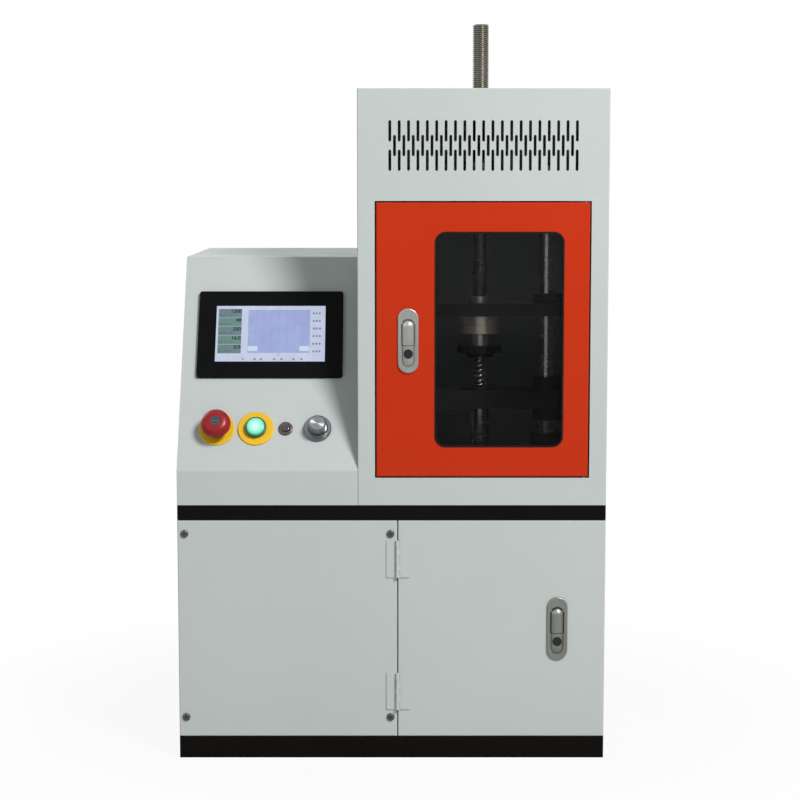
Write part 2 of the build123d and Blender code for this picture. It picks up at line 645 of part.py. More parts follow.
def make_lock_housing(centre):
    """Rimmed flange and body, with the paddle's pocket above the land of the key."""
    x, z = centre
    face = FRONT - LOCK_FLANGE
    flange = front_extrude(lock_outline(LOCK_LENGTH, LOCK_WIDTH), face, FRONT, x, z)
    flange = fillet(flange.faces().sort_by(Axis.Y)[0].edges(), LOCK_FLANGE_ROUND)
    inside = lock_outline(LOCK_LENGTH - 2 * LOCK_RIM, LOCK_WIDTH - 2 * LOCK_RIM)
    flange -= front_extrude(inside, face, face + LOCK_RIM_HEIGHT, x, z)
    slot = lock_outline(LOCK_POCKET_TOP + LOCK_POCKET_BOTTOM, LOCK_POCKET_WIDTH)
    slot_z = z + (LOCK_POCKET_TOP - LOCK_POCKET_BOTTOM) / 2
    flange -= front_extrude(slot, face, RIDGE_FOOT, x, slot_z)
    pocket = front_extrude(slot, face, FRONT + LOCK_POCKET_DEPTH, x, slot_z)
    pocket &= lock_part(centre, -LOCK_SPLIT, LOCK_LENGTH)
    body = front_extrude(lock_outline(LOCK_BODY_LENGTH, LOCK_BODY_WIDTH), FRONT, LOCK_REAR, x, z)
    land = lock_ridge(centre, FRONT) & lock_part(centre, -LOCK_LENGTH, -LOCK_SPLIT)
    bore = Circle(KEY_DIAMETER / 2 + KEY_RUNNING)
    key_bore = front_extrude(bore, RIDGE_FRONT, LOCK_REAR, x, z - KEY_DROP)
    pin_length = LOCK_POCKET_WIDTH + 2 * PADDLE_PIN_SEAT + 2 * LOCK_FIT
    pin_bore = paddle_pin(centre, PADDLE_PIN + 2 * RUNNING_FIT, pin_length)
    return flange + body - pocket + land - key_bore - pin_bore


def paddle_pivot_height(z):
    return z + LOCK_POCKET_TOP - PADDLE_END_GAP - PADDLE_PIVOT_INSET


def paddle_pin(centre, diameter, length):
    """Cross pin near the top of the paddle, on which it swings."""
    x, z = centre
    return Pos(x, FRONT, paddle_pivot_height(z)) * (Rot(0, 90, 0) * Cylinder(diameter / 2, length))


def make_lock_paddle(centre):
    """Half-round pull in the upper part of the lock, with its lug and cross pin."""
    x, z = centre
    paddle = lock_ridge(centre, RIDGE_FRONT + PADDLE_THICKNESS)
    paddle &= lock_part(centre, PADDLE_SPLIT_GAP - LOCK_SPLIT, LOCK_LENGTH)
    pivot_z = paddle_pivot_height(z)
    lug_low = (x - PADDLE_LUG_WIDTH / 2, FRONT - LOCK_FLANGE, pivot_z - PADDLE_PIVOT_INSET / 2)
    lug_high = (x + PADDLE_LUG_WIDTH / 2, FRONT + PADDLE_PIVOT_DEPTH, pivot_z + PADDLE_PIVOT_INSET / 2)
    pin = paddle_pin(centre, PADDLE_PIN, LOCK_POCKET_WIDTH + 2 * PADDLE_PIN_SEAT)
    return paddle + block(lug_low, lug_high) + pin


def make_lock_key(centre, cam_length):
    """Key cylinder with the cam at its back, which hangs down while unlocked."""
    x, z = centre
    key_z = z - KEY_DROP
    rear = LOCK_REAR + CAM_GAP
    barrel = front_extrude(Circle(KEY_DIAMETER / 2), RIDGE_FRONT - KEY_PROUD, rear, x, key_z)
    cam_outline = Pos(0, -(cam_length - CAM_WIDTH) / 2) * SlotOverall(cam_length, CAM_WIDTH, rotation=90)
    cam = front_extrude(cam_outline, rear, rear + CAM_THICKNESS, x, key_z)
    return barrel + cam


def make_test_door():
    low = (DOOR_LEFT, FRONT, DOOR_BOTTOM)
    high = (DOOR_RIGHT, FRONT + DOOR_DEPTH, DOOR_TOP)
    door = folded_pan(low, high, EDGE_BEND)
    window = RectangleRounded(WINDOW_WIDTH, WINDOW_HEIGHT, WINDOW_CORNER)
    door -= front_extrude(window, FRONT, FRONT + SHEET, WINDOW_CENTRE_X, WINDOW_CENTRE_Z)
    door -= rod(PIVOT_PIN, DOOR_BOTTOM, DOOR_TOP, PIVOT_X, PIVOT_Y)
    return door - lock_hole(UPPER_LOCK)


def make_test_door_pane():
    outline = RectangleRounded(WINDOW_WIDTH + 2 * PANE_LAP, WINDOW_HEIGHT + 2 * PANE_LAP, WINDOW_CORNER)
    front = FRONT + SHEET
    return front_extrude(outline, front, front + PANE_THICKNESS, WINDOW_CENTRE_X, WINDOW_CENTRE_Z)


def make_window_gasket():
    outer = RectangleRounded(WINDOW_WIDTH, WINDOW_HEIGHT, WINDOW_CORNER)
    inner_corner = WINDOW_CORNER - GASKET_WIDTH
    inner = RectangleRounded(WINDOW_WIDTH - 2 * GASKET_WIDTH, WINDOW_HEIGHT - 2 * GASKET_WIDTH, inner_corner)
    front = FRONT - GASKET_PROUD
    return front_extrude(outer - inner, front, FRONT + SHEET, WINDOW_CENTRE_X, WINDOW_CENTRE_Z)


def make_test_door_pivots():
    """Blocks in the right corners of the test door, each with a pin that enters the frame."""
    pivots = []
    for inner, direction in ((DOOR_TOP - SHEET, 1), (DOOR_BOTTOM + SHEET, -1)):
        block_end = inner - direction * PIVOT_BLOCK_HEIGHT
        low = (DOOR_RIGHT - SHEET - PIVOT_BLOCK_WIDTH, FRONT + SHEET, min(inner, block_end))
        high = (DOOR_RIGHT - SHEET, FRONT + SHEET + PIVOT_BLOCK_WIDTH, max(inner, block_end))
        pin_end = inner + direction * (SHEET + PIVOT_PIN_REACH)
        pin_start = pin_end - direction * PIVOT_PIN_LENGTH
        pin = rod(PIVOT_PIN, min(pin_start, pin_end), max(pin_start, pin_end), PIVOT_X, PIVOT_Y)
        pivots.append(block(low, high) + pin)
    return Part() + pivots


def make_tower_front_frame():
    """Front sheet round the test door, with its jambs folded back."""
    top = DOOR_TOP + DOOR_GAP + SHEET
    sheet = block((TOWER_LEFT, FRONT, TABLE_TOP), (RIGHT, FRONT + SHEET, top))
    outer_edges = sheet.faces().sort_by(Axis.Y)[0].edges().filter_by(Axis.Z)
    sheet = fillet(outer_edges, EDGE_BEND)
    open_low = (DOOR_LEFT - DOOR_GAP, FRONT, DOOR_BOTTOM - DOOR_GAP)
    open_high = (DOOR_RIGHT + DOOR_GAP, FRONT + JAMB_DEPTH, DOOR_TOP + DOOR_GAP)
    jamb_low = (open_low[0] - SHEET, FRONT, open_low[2] - SHEET)
    jamb_high = (open_high[0] + SHEET, FRONT + JAMB_DEPTH, top)
    frame = sheet + block(jamb_low, jamb_high) - block(open_low, open_high)
    bore = PIVOT_PIN + 2 * PIVOT_RUNNING
    return frame - rod(bore, open_low[2] - SHEET, top, PIVOT_X, PIVOT_Y)


def vent_slots(front, drop):
    """Three staggered rows of upright slots through a sheet at the depth front, this far below the roof."""
    middle = (TOWER_LEFT + RIGHT) / 2
    middle_z = TOWER_TOP - drop
    columns = int((TOWER_WIDTH - 2 * VENT_SIDE_MARGIN) / VENT_PITCH) + 1
    slot = SlotOverall(VENT_SLOT_LENGTH, VENT_SLOT_WIDTH, rotation=90)
    slots = []
    for row in (-1, 0, 1):
        count = columns - 1 if row == 0 else columns
        for column in range(count):
            x = middle + (column - (count - 1) / 2) * VENT_PITCH
            slots.append(front_extrude(slot, front, front + SHEET, x, middle_z + row * VENT_ROW_PITCH))
    return slots


def make_vent_grille():
    """Front sheet above the test door with its vent slots."""
    bottom = DOOR_TOP + DOOR_GAP + SHEET
    grille = block((TOWER_LEFT, FRONT, bottom), (RIGHT, FRONT + SHEET, TOWER_TOP))
    outer = grille.faces().sort_by(Axis.Y)[0].edges()
    grille = fillet(outer.filter_by(Axis.Z) + outer.filter_by(Axis.X).sort_by(Axis.Z)[-1:], EDGE_BEND)
    return grille - vent_slots(FRONT, VENT_DROP)


def make_tower_wrap():
    """Both sides and the roof of the tower, one sheet folded over."""
    outer = block((TOWER_LEFT, FRONT + SHEET, TABLE_TOP), (RIGHT, BACK, TOWER_TOP))
    outer = fillet(outer.faces().sort_by(Axis.Z)[-1].edges().filter_by(Axis.Y), EDGE_BEND)
    inner = block((TOWER_LEFT + SHEET, FRONT, TABLE_TOP), (RIGHT - SHEET, BACK, TOWER_TOP - SHEET))
    return outer - inner - rod(GROMMET_HOLE, TOWER_TOP - SHEET, TOWER_TOP, AXIS_X, AXIS_Y)


def make_tower_rear_panel():
    """Rear sheet of the tower, vented as the front is but lower, so nothing is seen through both."""
    low = (TOWER_LEFT + SHEET, BACK - SHEET, TABLE_TOP)
    high = (RIGHT - SHEET, BACK, TOWER_TOP - SHEET)
    return block(low, high) - vent_slots(BACK - SHEET, REAR_VENT_DROP)


def make_roof_grommet():
    """Ring in the roof hole round the adjusting screw."""
    lip = rod(GROMMET_OUTSIDE, TOWER_TOP, TOWER_TOP + GROMMET_THICKNESS, AXIS_X, AXIS_Y)
    lip = fillet(lip.faces().sort_by(Axis.Z)[-1].edges(), GROMMET_THICKNESS / 2)
    neck = rod(GROMMET_HOLE, TOWER_TOP - SHEET, TOWER_TOP, AXIS_X, AXIS_Y)
    hole = rod(SCREW_DIAMETER + 2 * GROMMET_CLEARANCE, TABLE_TOP, TOWER_TOP + SHEET, AXIS_X, AXIS_Y)
    return lip + neck - hole


def console_outline(inset):
    """Side profile of the console, moved inwards by the wall."""
    points = [
        (FRONT, TABLE_TOP),
        (FRONT, TABLE_TOP + CONSOLE_KNEE_HEIGHT),
        (FRONT + CONSOLE_SLOPE_RUN, TABLE_TOP + CONSOLE_HEIGHT),
        (BACK, TABLE_TOP + CONSOLE_HEIGHT),
        (BACK, TABLE_TOP),
    ]
    face = make_face(Polyline(*points, close=True))
    bends = face.vertices().sort_by(Axis.Y)[2:]
    face = fillet(bends, CONSOLE_BEND)
    return offset(face, -inset) if inset else face


def make_console_shell():
    outer = Pos(LEFT, 0, 0) * extrude(Plane.YZ * console_outline(0), amount=TOWER_LEFT - LEFT)
    inner_width = TOWER_LEFT - LEFT - 2 * SHEET
    inner = Pos(LEFT + SHEET, 0, 0) * extrude(Plane.YZ * console_outline(SHEET), amount=inner_width)
    mouth_low = (LEFT + SHEET, FRONT + SHEET, TABLE_TOP)
    mouth_high = (TOWER_LEFT - SHEET, BACK - SHEET, TABLE_TOP + 2 * SHEET)
    shell = outer - inner - block(mouth_low, mouth_high)
    for place in (ESTOP_PLACE, START_PLACE, KNOB_PLACE):
        shell -= on_panel(Cylinder(CONTROL_HOLE / 2, 3 * SHEET), place, CONTROL_RISE)
    shell -= on_panel(Cylinder(RESET_HOLE / 2, 3 * SHEET), RESET_PLACE, CONTROL_RISE)
    cut_width = HMI_WIDTH - 2 * HMI_HOUSING_MARGIN + HMI_HOUSING_FIT
    cut_height = HMI_HEIGHT - 2 * HMI_HOUSING_MARGIN + HMI_HOUSING_FIT
    return shell - on_panel(Box(cut_width, cut_height, 3 * SHEET), HMI_PLACE, HMI_RISE)


def panel_box(width, height, low, high):
    """Box centred on the local z axis between two distances out of the panel."""
    return Pos(0, 0, (low + high) / 2) * Box(width, height, high - low)


def panel_rod(diameter, low, high):
    """Cylinder on the local z axis between two distances out of the panel."""
    return Pos(0, 0, (low + high) / 2) * Cylinder(diameter / 2, high - low)


def make_hmi_bezel():
    bezel = panel_box(HMI_WIDTH, HMI_HEIGHT, 0, HMI_BEZEL)
    bezel = fillet(bezel.edges().filter_by(Axis.Z), HMI_CORNER)
    bezel = fillet(bezel.faces().sort_by(Axis.Z)[-1].edges(), SCREEN_SINK)
    screen_top = HMI_BEZEL - SCREEN_SINK
    bezel -= panel_box(SCREEN_WIDTH, SCREEN_HEIGHT, screen_top, HMI_BEZEL)
    pocket_width = SCREEN_WIDTH + 2 * SCREEN_LAP + SCREEN_FIT
    pocket_height = SCREEN_HEIGHT + 2 * SCREEN_LAP + SCREEN_FIT
    bezel -= panel_box(pocket_width, pocket_height, 0, screen_top)
    return on_panel(bezel, HMI_PLACE, HMI_RISE)


def make_hmi_screen():
    screen_top = HMI_BEZEL - SCREEN_SINK
    width = SCREEN_WIDTH + 2 * SCREEN_LAP
    height = SCREEN_HEIGHT + 2 * SCREEN_LAP
    return on_panel(panel_box(width, height, screen_top - SCREEN_THICKNESS, screen_top), HMI_PLACE, HMI_RISE)


def make_hmi_housing():
    screen_bottom = HMI_BEZEL - SCREEN_SINK - SCREEN_THICKNESS
    width = HMI_WIDTH - 2 * HMI_HOUSING_MARGIN
    height = HMI_HEIGHT - 2 * HMI_HOUSING_MARGIN
    body = panel_box(width, height, -HMI_HOUSING_DEPTH, 0)
    seat = panel_box(SCREEN_WIDTH + 2 * SCREEN_LAP, SCREEN_HEIGHT + 2 * SCREEN_LAP, 0, screen_bottom)
    return on_panel(body + seat, HMI_PLACE, HMI_RISE)


def make_legend_rings():
    """Yellow discs under the emergency stop and the start button."""
    rings = []
    for place in (ESTOP_PLACE, START_PLACE):
        ring = panel_rod(LEGEND_RING, 0, LEGEND_RING_THICKNESS)
        ring = fillet(ring.faces().sort_by(Axis.Z)[-1].edges(), LEGEND_RING_THICKNESS / 2)
        ring -= panel_rod(CONTROL_HOLE, 0, LEGEND_RING_THICKNESS)
        rings.append(on_panel(ring, place, CONTROL_RISE))
    return Part() + rings


def control_body(bore):
    """Flange, barrel, nut and contact block of a panel control."""
    flange_top = LEGEND_RING_THICKNESS + CONTROL_FLANGE_HEIGHT
    barrel_bottom = -SHEET - CONTROL_BARREL_LENGTH
    body = panel_rod(CONTROL_FLANGE, LEGEND_RING_THICKNESS, flange_top)
    body = fillet(body.faces().sort_by(Axis.Z)[-1].edges(), CONTROL_CLEARANCE * 2)
    body += panel_rod(CONTROL_HOLE - CONTROL_FIT, barrel_bottom, LEGEND_RING_THICKNESS)
    body += panel_rod(CONTROL_NUT, -SHEET - CONTROL_NUT_HEIGHT, -SHEET)
    body -= panel_rod(bore, barrel_bottom, flange_top)
    block_bottom = barrel_bottom - CONTACT_BLOCK_DEPTH
    return body + panel_box(CONTACT_BLOCK_WIDTH, CONTACT_BLOCK_LENGTH, block_bottom, barrel_bottom)


def make_estop_body():
    return on_panel(control_body(ESTOP_STEM + 2 * CONTROL_CLEARANCE), ESTOP_PLACE, CONTROL_RISE)


def estop_head_bottom():
    return LEGEND_RING_THICKNESS + CONTROL_FLANGE_HEIGHT + ESTOP_TRAVEL + CONTROL_CLEARANCE


def make_estop_stem():
    bottom = -SHEET - CONTROL_BARREL_LENGTH + ESTOP_TRAVEL + CONTROL_CLEARANCE
    return on_panel(panel_rod(ESTOP_STEM, bottom, estop_head_bottom()), ESTOP_PLACE, CONTROL_RISE)


def make_estop_head():
    """Mushroom head: it widens to its rim and closes in a low dome."""
    bottom = estop_head_bottom()
    with BuildPart() as head:
        with BuildSketch(Plane.XZ):
            with BuildLine():
                under = (ESTOP_UNDERSIDE / 2, bottom)
                edge = (ESTOP_HEAD / 2, bottom + ESTOP_RIM_HEIGHT)
                shoulder = (ESTOP_SHOULDER / 2, bottom + ESTOP_SHOULDER_HEIGHT)
                crown = (ESTOP_CROWN / 2, bottom + ESTOP_CROWN_HEIGHT)
                flat = (ESTOP_FLAT / 2, bottom + ESTOP_HEAD_HEIGHT)
                Polyline((0, bottom), under, edge, shoulder)
                ThreePointArc(shoulder, crown, flat)
                Polyline(flat, (0, bottom + ESTOP_HEAD_HEIGHT), (0, bottom))
            make_face()
        revolve(axis=Axis.Z)
    return on_panel(head.part, ESTOP_PLACE, CONTROL_RISE)


def make_start_body():
    body = control_body(LENS_STEM + 2 * CONTROL_CLEARANCE)
    flange_top = LEGEND_RING_THICKNESS + CONTROL_FLANGE_HEIGHT
    seat = LEGEND_RING_THICKNESS + LENS_SEAT
    well = panel_rod(LENS_DIAMETER + 2 * CONTROL_CLEARANCE, seat, flange_top)
    return on_panel(body - well, START_PLACE, CONTROL_RISE)


def make_start_lens():
    flange_top = LEGEND_RING_THICKNESS + CONTROL_FLANGE_HEIGHT
    skirt_bottom = LEGEND_RING_THICKNESS + LENS_SEAT + LENS_TRAVEL + CONTROL_CLEARANCE
    cap = panel_rod(LENS_DIAMETER, skirt_bottom, flange_top + LENS_PROUD)
    cap = fillet(cap.faces().sort_by(Axis.Z)[-1].edges(), LENS_ROUND)
    stem_bottom = -SHEET - CONTROL_BARREL_LENGTH + LENS_TRAVEL + CONTROL_CLEARANCE
    return on_panel(cap + panel_rod(LENS_STEM, stem_bottom, skirt_bottom), START_PLACE, CONTROL_RISE)


def make_reset_bezel():
    barrel_bottom = -SHEET - RESET_BARREL_LENGTH
    body = panel_rod(RESET_BEZEL, 0, RESET_BEZEL_HEIGHT)
    body = fillet(body.faces().sort_by(Axis.Z)[-1].edges(), RESET_BEZEL_HEIGHT / 3)
    body += panel_rod(RESET_HOLE - CONTROL_FIT, barrel_bottom, 0)
    body += panel_rod(RESET_BEZEL, -SHEET - CONTROL_NUT_HEIGHT, -SHEET)
    floor = barrel_bottom + SHEET
    return on_panel(body - panel_rod(RESET_CAP + 2 * CONTROL_CLEARANCE, floor, RESET_BEZEL_HEIGHT),
                    RESET_PLACE, CONTROL_RISE)


def make_reset_cap():
    bottom = -SHEET - RESET_BARREL_LENGTH + SHEET + RESET_TRAVEL + CONTROL_CLEARANCE
    top = RESET_BEZEL_HEIGHT + RESET_CAP_PROUD
    cap = panel_rod(RESET_CAP, bottom, top)
    cap = fillet(cap.faces().sort_by(Axis.Z)[-1].edges(), RESET_CAP_ROUND)
    return on_panel(cap, RESET_PLACE, CONTROL_RISE)


def make_speed_pot():
    """Rotary control behind the knob, with its bush through the panel."""
    bottom = -SHEET - POT_BODY_LENGTH
    body = panel_rod(POT_FLANGE, 0, POT_FLANGE_HEIGHT)
    body += panel_rod(CONTROL_HOLE - CONTROL_FIT, bottom, 0)
    body += panel_rod(CONTROL_NUT, -SHEET - CONTROL_NUT_HEIGHT, -SHEET)
    shaft_floor = POT_FLANGE_HEIGHT - KNOB_SHAFT_LENGTH - CONTROL_CLEARANCE
    bore = panel_rod(KNOB_SHAFT + 2 * RUNNING_FIT, shaft_floor, POT_FLANGE_HEIGHT)
    return on_panel(body - bore, KNOB_PLACE, CONTROL_RISE)


def make_speed_knob():
    """Spun metal knob with a wide skirt and a hollow-ground face."""
    low = POT_FLANGE_HEIGHT + KNOB_GAP
    skirt_top = low + KNOB_SKIRT_HEIGHT
    top = low + KNOB_HEIGHT
    skirt = KNOB_SKIRT / 2
    body = KNOB_BODY / 2
    face = KNOB_FACE / 2
    edge = KNOB_EDGE
    points = [(0, low), (skirt, low), (skirt, low + KNOB_SKIRT_HEIGHT / 2), (skirt - edge, skirt_top),
              (body + edge, skirt_top), (body, skirt_top + edge), (body - edge, top - edge),
              (face, top), (face - edge, top - KNOB_HOLLOW), (0, top - KNOB_HOLLOW)]
    knob = turned(points)
    shaft_end = POT_FLANGE_HEIGHT - KNOB_SHAFT_LENGTH
    return on_panel(knob + panel_rod(KNOB_SHAFT, shaft_end, low), KNOB_PLACE, CONTROL_RISE)


def column_places():
    return [AXIS_X - COLUMN_SPACING / 2, AXIS_X + COLUMN_SPACING / 2]


def cross_plate(bottom, top):
    """Rounded plate that bridges both columns."""
    outline = RectangleRounded(CROSSHEAD_LENGTH, CROSSHEAD_DEPTH, CROSSHEAD_CORNER)
    return Pos(AXIS_X, AXIS_Y, bottom) * extrude(outline, amount=top - bottom)


def make_base_block():
    plate = cross_plate(TABLE_TOP, TABLE_TOP + BASE_BLOCK_HEIGHT)
    for x in column_places():
        plate += rod(BASE_BOSS_DIAMETER, TABLE_TOP, TABLE_TOP + BASE_BOSS_HEIGHT, x, AXIS_Y)
    plate += rod(BASE_BOSS_DIAMETER, TABLE_TOP, TABLE_TOP + RAM_BOSS_HEIGHT, AXIS_X, AXIS_Y)
    for x in column_places():
        plate -= rod(COLUMN_DIAMETER + 2 * SEAT_FIT, TABLE_TOP, TABLE_TOP + BASE_BOSS_HEIGHT, x, AXIS_Y)
    return plate - rod(RAM_DIAMETER + 2 * RUNNING_FIT, TABLE_TOP, TABLE_TOP + RAM_BOSS_HEIGHT, AXIS_X, AXIS_Y)


def make_guide_columns():
    """Two ground columns, each with a shoulder under the crown plate and a nut above it."""
    columns = []
    for x in column_places():
        column = rod(COLUMN_DIAMETER, TABLE_TOP, CROWN_BOTTOM, x, AXIS_Y)
        column += rod(COLUMN_TOP_DIAMETER, CROWN_BOTTOM, CROWN_BOTTOM + COLUMN_TOP_LENGTH, x, AXIS_Y)
        nut_outline = RegularPolygon(COLUMN_NUT / 2, 6, major_radius=False)
        nut = Pos(x, AXIS_Y, CROWN_TOP) * extrude(nut_outline, amount=COLUMN_NUT_HEIGHT)
        columns.append(column + nut)
    return Part() + columns


def make_crown_plate():
    plate = cross_plate(CROWN_BOTTOM, CROWN_TOP)
    for x in column_places():
        plate -= rod(COLUMN_TOP_DIAMETER + 2 * SEAT_FIT, CROWN_BOTTOM, CROWN_TOP, x, AXIS_Y)
    return plate - rod(SCREW_DIAMETER + 2 * GROMMET_CLEARANCE, CROWN_BOTTOM, CROWN_TOP, AXIS_X, AXIS_Y)


def make_adjusting_nut():
    """Round nut on the crown plate with holes for a tommy bar."""
    top = CROWN_TOP + ADJUSTING_NUT_HEIGHT
    nut = rod(ADJUSTING_NUT_DIAMETER, CROWN_TOP, top, AXIS_X, AXIS_Y)
    nut = fillet(nut.faces().sort_by(Axis.Z)[-1].edges(), SHEET)
    for index in range(ADJUSTING_BAR_HOLES):
        turn = Rot(0, 0, index * 360 / ADJUSTING_BAR_HOLES)
        reach = (ADJUSTING_NUT_DIAMETER - ADJUSTING_BAR_DEPTH) / 2
        hole = Pos(reach, 0, 0) * (Rot(0, 90, 0) * Cylinder(ADJUSTING_BAR_HOLE / 2, ADJUSTING_BAR_DEPTH))
        nut -= Pos(AXIS_X, AXIS_Y, CROWN_TOP + ADJUSTING_NUT_HEIGHT / 2) * (turn * hole)
    return nut - rod(SCREW_DIAMETER + 2 * RUNNING_FIT, CROWN_TOP, top, AXIS_X, AXIS_Y)


def make_adjusting_screw():
    """Threaded rod through the crown and the roof, with its lock collar on the crosshead."""
    bottom = UPPER_CROSSHEAD_TOP
    screw = rod(SCREW_DIAMETER, bottom, TOWER_TOP + SCREW_ABOVE_ROOF, AXIS_X, AXIS_Y)
    screw = chamfer(screw.faces().sort_by(Axis.Z)[-1].edges(), SHEET)
    collar = rod(LOCK_COLLAR_DIAMETER, bottom, bottom + LOCK_COLLAR_HEIGHT, AXIS_X, AXIS_Y)
    collar = fillet(collar.faces().sort_by(Axis.Z)[-1].edges(), SHEET / 2)
    return screw + collar


def make_upper_crosshead():
    plate = cross_plate(UPPER_CROSSHEAD_BOTTOM, UPPER_CROSSHEAD_TOP)
    top = UPPER_CROSSHEAD_TOP + UPPER_BUSH_HEIGHT
    for x in column_places():
        plate += rod(BUSH_DIAMETER, UPPER_CROSSHEAD_BOTTOM, top, x, AXIS_Y)
    for x in column_places():
        plate -= rod(COLUMN_DIAMETER + 2 * RUNNING_FIT, UPPER_CROSSHEAD_BOTTOM, top, x, AXIS_Y)
    return plate


def make_load_cell():
    """Steel ring-type force sensor with a groove round its rim and a threaded adapter below."""
    radius = LOAD_CELL_DIAMETER / 2
    groove = radius - LOAD_CELL_GROOVE
    middle = LOAD_CELL_BOTTOM + LOAD_CELL_HEIGHT / 2
    half = LOAD_CELL_GROOVE_HEIGHT / 2
    adapter = ADAPTER_DIAMETER / 2
    points = [(0, ADAPTER_BOTTOM), (adapter, ADAPTER_BOTTOM), (adapter, LOAD_CELL_BOTTOM),
              (radius - LOAD_CELL_CHAMFER, LOAD_CELL_BOTTOM), (radius, LOAD_CELL_BOTTOM + LOAD_CELL_CHAMFER),
              (radius, middle - half), (groove, middle - half),
              (groove, middle + half), (radius, middle + half),
              (radius, UPPER_CROSSHEAD_BOTTOM - LOAD_CELL_CHAMFER),
              (radius - LOAD_CELL_CHAMFER, UPPER_CROSSHEAD_BOTTOM), (0, UPPER_CROSSHEAD_BOTTOM)]
    return turned(points, AXIS_X, AXIS_Y)


def spigot(bottom, top, tip_at_top):
    """Short guide pin that stands inside the end of the spring."""
    radius = SPRING_OUTSIDE / 2 - SPRING_WIRE - SPIGOT_CLEARANCE
    pin = rod(2 * radius, bottom, top, AXIS_X, AXIS_Y)
    tip = pin.faces().sort_by(Axis.Z)[-1 if tip_at_top else 0]
    return chamfer(tip.edges(), SPIGOT_CHAMFER)


def make_upper_spring_seat():
    """Stepped seat above the spring, with its clamp hole and a spigot inside the spring."""
    step = SEAT_BOTTOM + SEAT_LOWER_HEIGHT
    seat = rod(SEAT_LOWER_DIAMETER, SEAT_BOTTOM, step, AXIS_X, AXIS_Y)
    seat += rod(SEAT_DIAMETER, step, ADAPTER_BOTTOM, AXIS_X, AXIS_Y)
    hole_front = AXIS_Y - SEAT_DIAMETER / 2
    hole_z = (step + ADAPTER_BOTTOM) / 2
    hole = front_extrude(Circle(SEAT_HOLE / 2), hole_front, hole_front + SEAT_HOLE_DEPTH,
                         AXIS_X + SEAT_HOLE_OFFSET, hole_z)
    return seat - hole + spigot(SEAT_BOTTOM - SPIGOT_HEIGHT, SEAT_BOTTOM, False)


def make_lower_crosshead():
    """Moving crosshead with its long bushes, the platen and a spigot inside the spring."""
    bottom = TABLE_TOP + LOWER_CROSSHEAD_BOTTOM
    plate = cross_plate(bottom, LOWER_CROSSHEAD_TOP)
    bush_bottom = TABLE_TOP + LOWER_BUSH_BOTTOM
    bush_top = bush_bottom + LOWER_BUSH_LENGTH
    for x in column_places():
        plate += rod(BUSH_DIAMETER, bush_bottom, bush_top, x, AXIS_Y)
    plate += rod(PLATEN_DIAMETER, LOWER_CROSSHEAD_TOP, PLATEN_TOP, AXIS_X, AXIS_Y)
    plate += spigot(PLATEN_TOP, PLATEN_TOP + SPIGOT_HEIGHT, True)
    for x in column_places():
        plate -= rod(COLUMN_DIAMETER + 2 * RUNNING_FIT, bush_bottom, bush_top, x, AXIS_Y)
    return plate


def helix_run(pitch, turns, bottom, start_angle):
    """Wire of the spring along one helix, and the angle at its top."""
    radius = (SPRING_OUTSIDE - SPRING_WIRE) / 2
    path = Helix(pitch=pitch, height=pitch * turns, radius=radius)
    section = Plane(origin=path @ 0, z_dir=path % 0) * Circle(SPRING_WIRE / 2)
    coil = sweep(section, path=path, is_frenet=True)
    return Pos(0, 0, bottom) * (Rot(0, 0, start_angle) * coil)


def make_test_spring():
    """Compression spring with closed ends that are ground flat."""
    end_pitch = SPRING_WIRE * SPRING_END_PITCH
    end_rise = end_pitch * SPRING_END_TURNS
    wire_length = SPRING_LENGTH + 2 * SPRING_GRIND * SPRING_WIRE / 2
    active_rise = wire_length - SPRING_WIRE - 2 * end_rise
    bottom = SPRING_WIRE / 2 - SPRING_GRIND * SPRING_WIRE / 2
    runs = [(end_pitch, SPRING_END_TURNS), (active_rise / SPRING_ACTIVE_TURNS, SPRING_ACTIVE_TURNS),
            (end_pitch, SPRING_END_TURNS)]
    coils = []
    height = bottom
    angle = 0.0
    radius = (SPRING_OUTSIDE - SPRING_WIRE) / 2
    for index, (pitch, turns) in enumerate(runs):
        coils.append(helix_run(pitch, turns, height, angle))
        height += pitch * turns
        angle += 360 * turns
        if index < len(runs) - 1:
            turn = math.radians(angle)
            joint = Pos(radius * math.cos(turn), radius * math.sin(turn), height)
            coils.append(joint * Sphere(SPRING_WIRE / 2))
    spring = coils[0]
    for coil in coils[1:]:
        spring += coil
    keep = rod(SPRING_OUTSIDE + SPRING_WIRE, 0, SPRING_LENGTH)
    return Pos(AXIS_X, AXIS_Y, PLATEN_TOP) * (spring & keep)


def make_ram():
    """Hollow push tube from the ball nut up to the moving crosshead."""
    top = TABLE_TOP + LOWER_CROSSHEAD_BOTTOM
    tube = rod(RAM_DIAMETER, NUT_TOP, top, AXIS_X, AXIS_Y)
    return tube - rod(RAM_BORE, NUT_TOP, NUT_TOP + RAM_BORE_LENGTH, AXIS_X, AXIS_Y)


def make_ball_nut():
    flange_bottom = NUT_TOP - BALL_NUT_FLANGE_THICKNESS
    bottom = flange_bottom - BALL_NUT_BODY_LENGTH
    nut = rod(BALL_NUT_FLANGE, flange_bottom, NUT_TOP, AXIS_X, AXIS_Y)
    nut += rod(BALL_NUT_BODY, bottom, flange_bottom, AXIS_X, AXIS_Y)
    return nut - rod(BALL_SCREW_DIAMETER + 2 * RUNNING_FIT, bottom, NUT_TOP, AXIS_X, AXIS_Y)


def make_ball_screw():
    top = BALL_SCREW_BOTTOM + BALL_SCREW_LENGTH
    screw = rod(BALL_SCREW_DIAMETER, BALL_SCREW_BOTTOM, top, AXIS_X, AXIS_Y)
    return chamfer(screw.faces().sort_by(Axis.Z)[-1].edges(), SHEET)


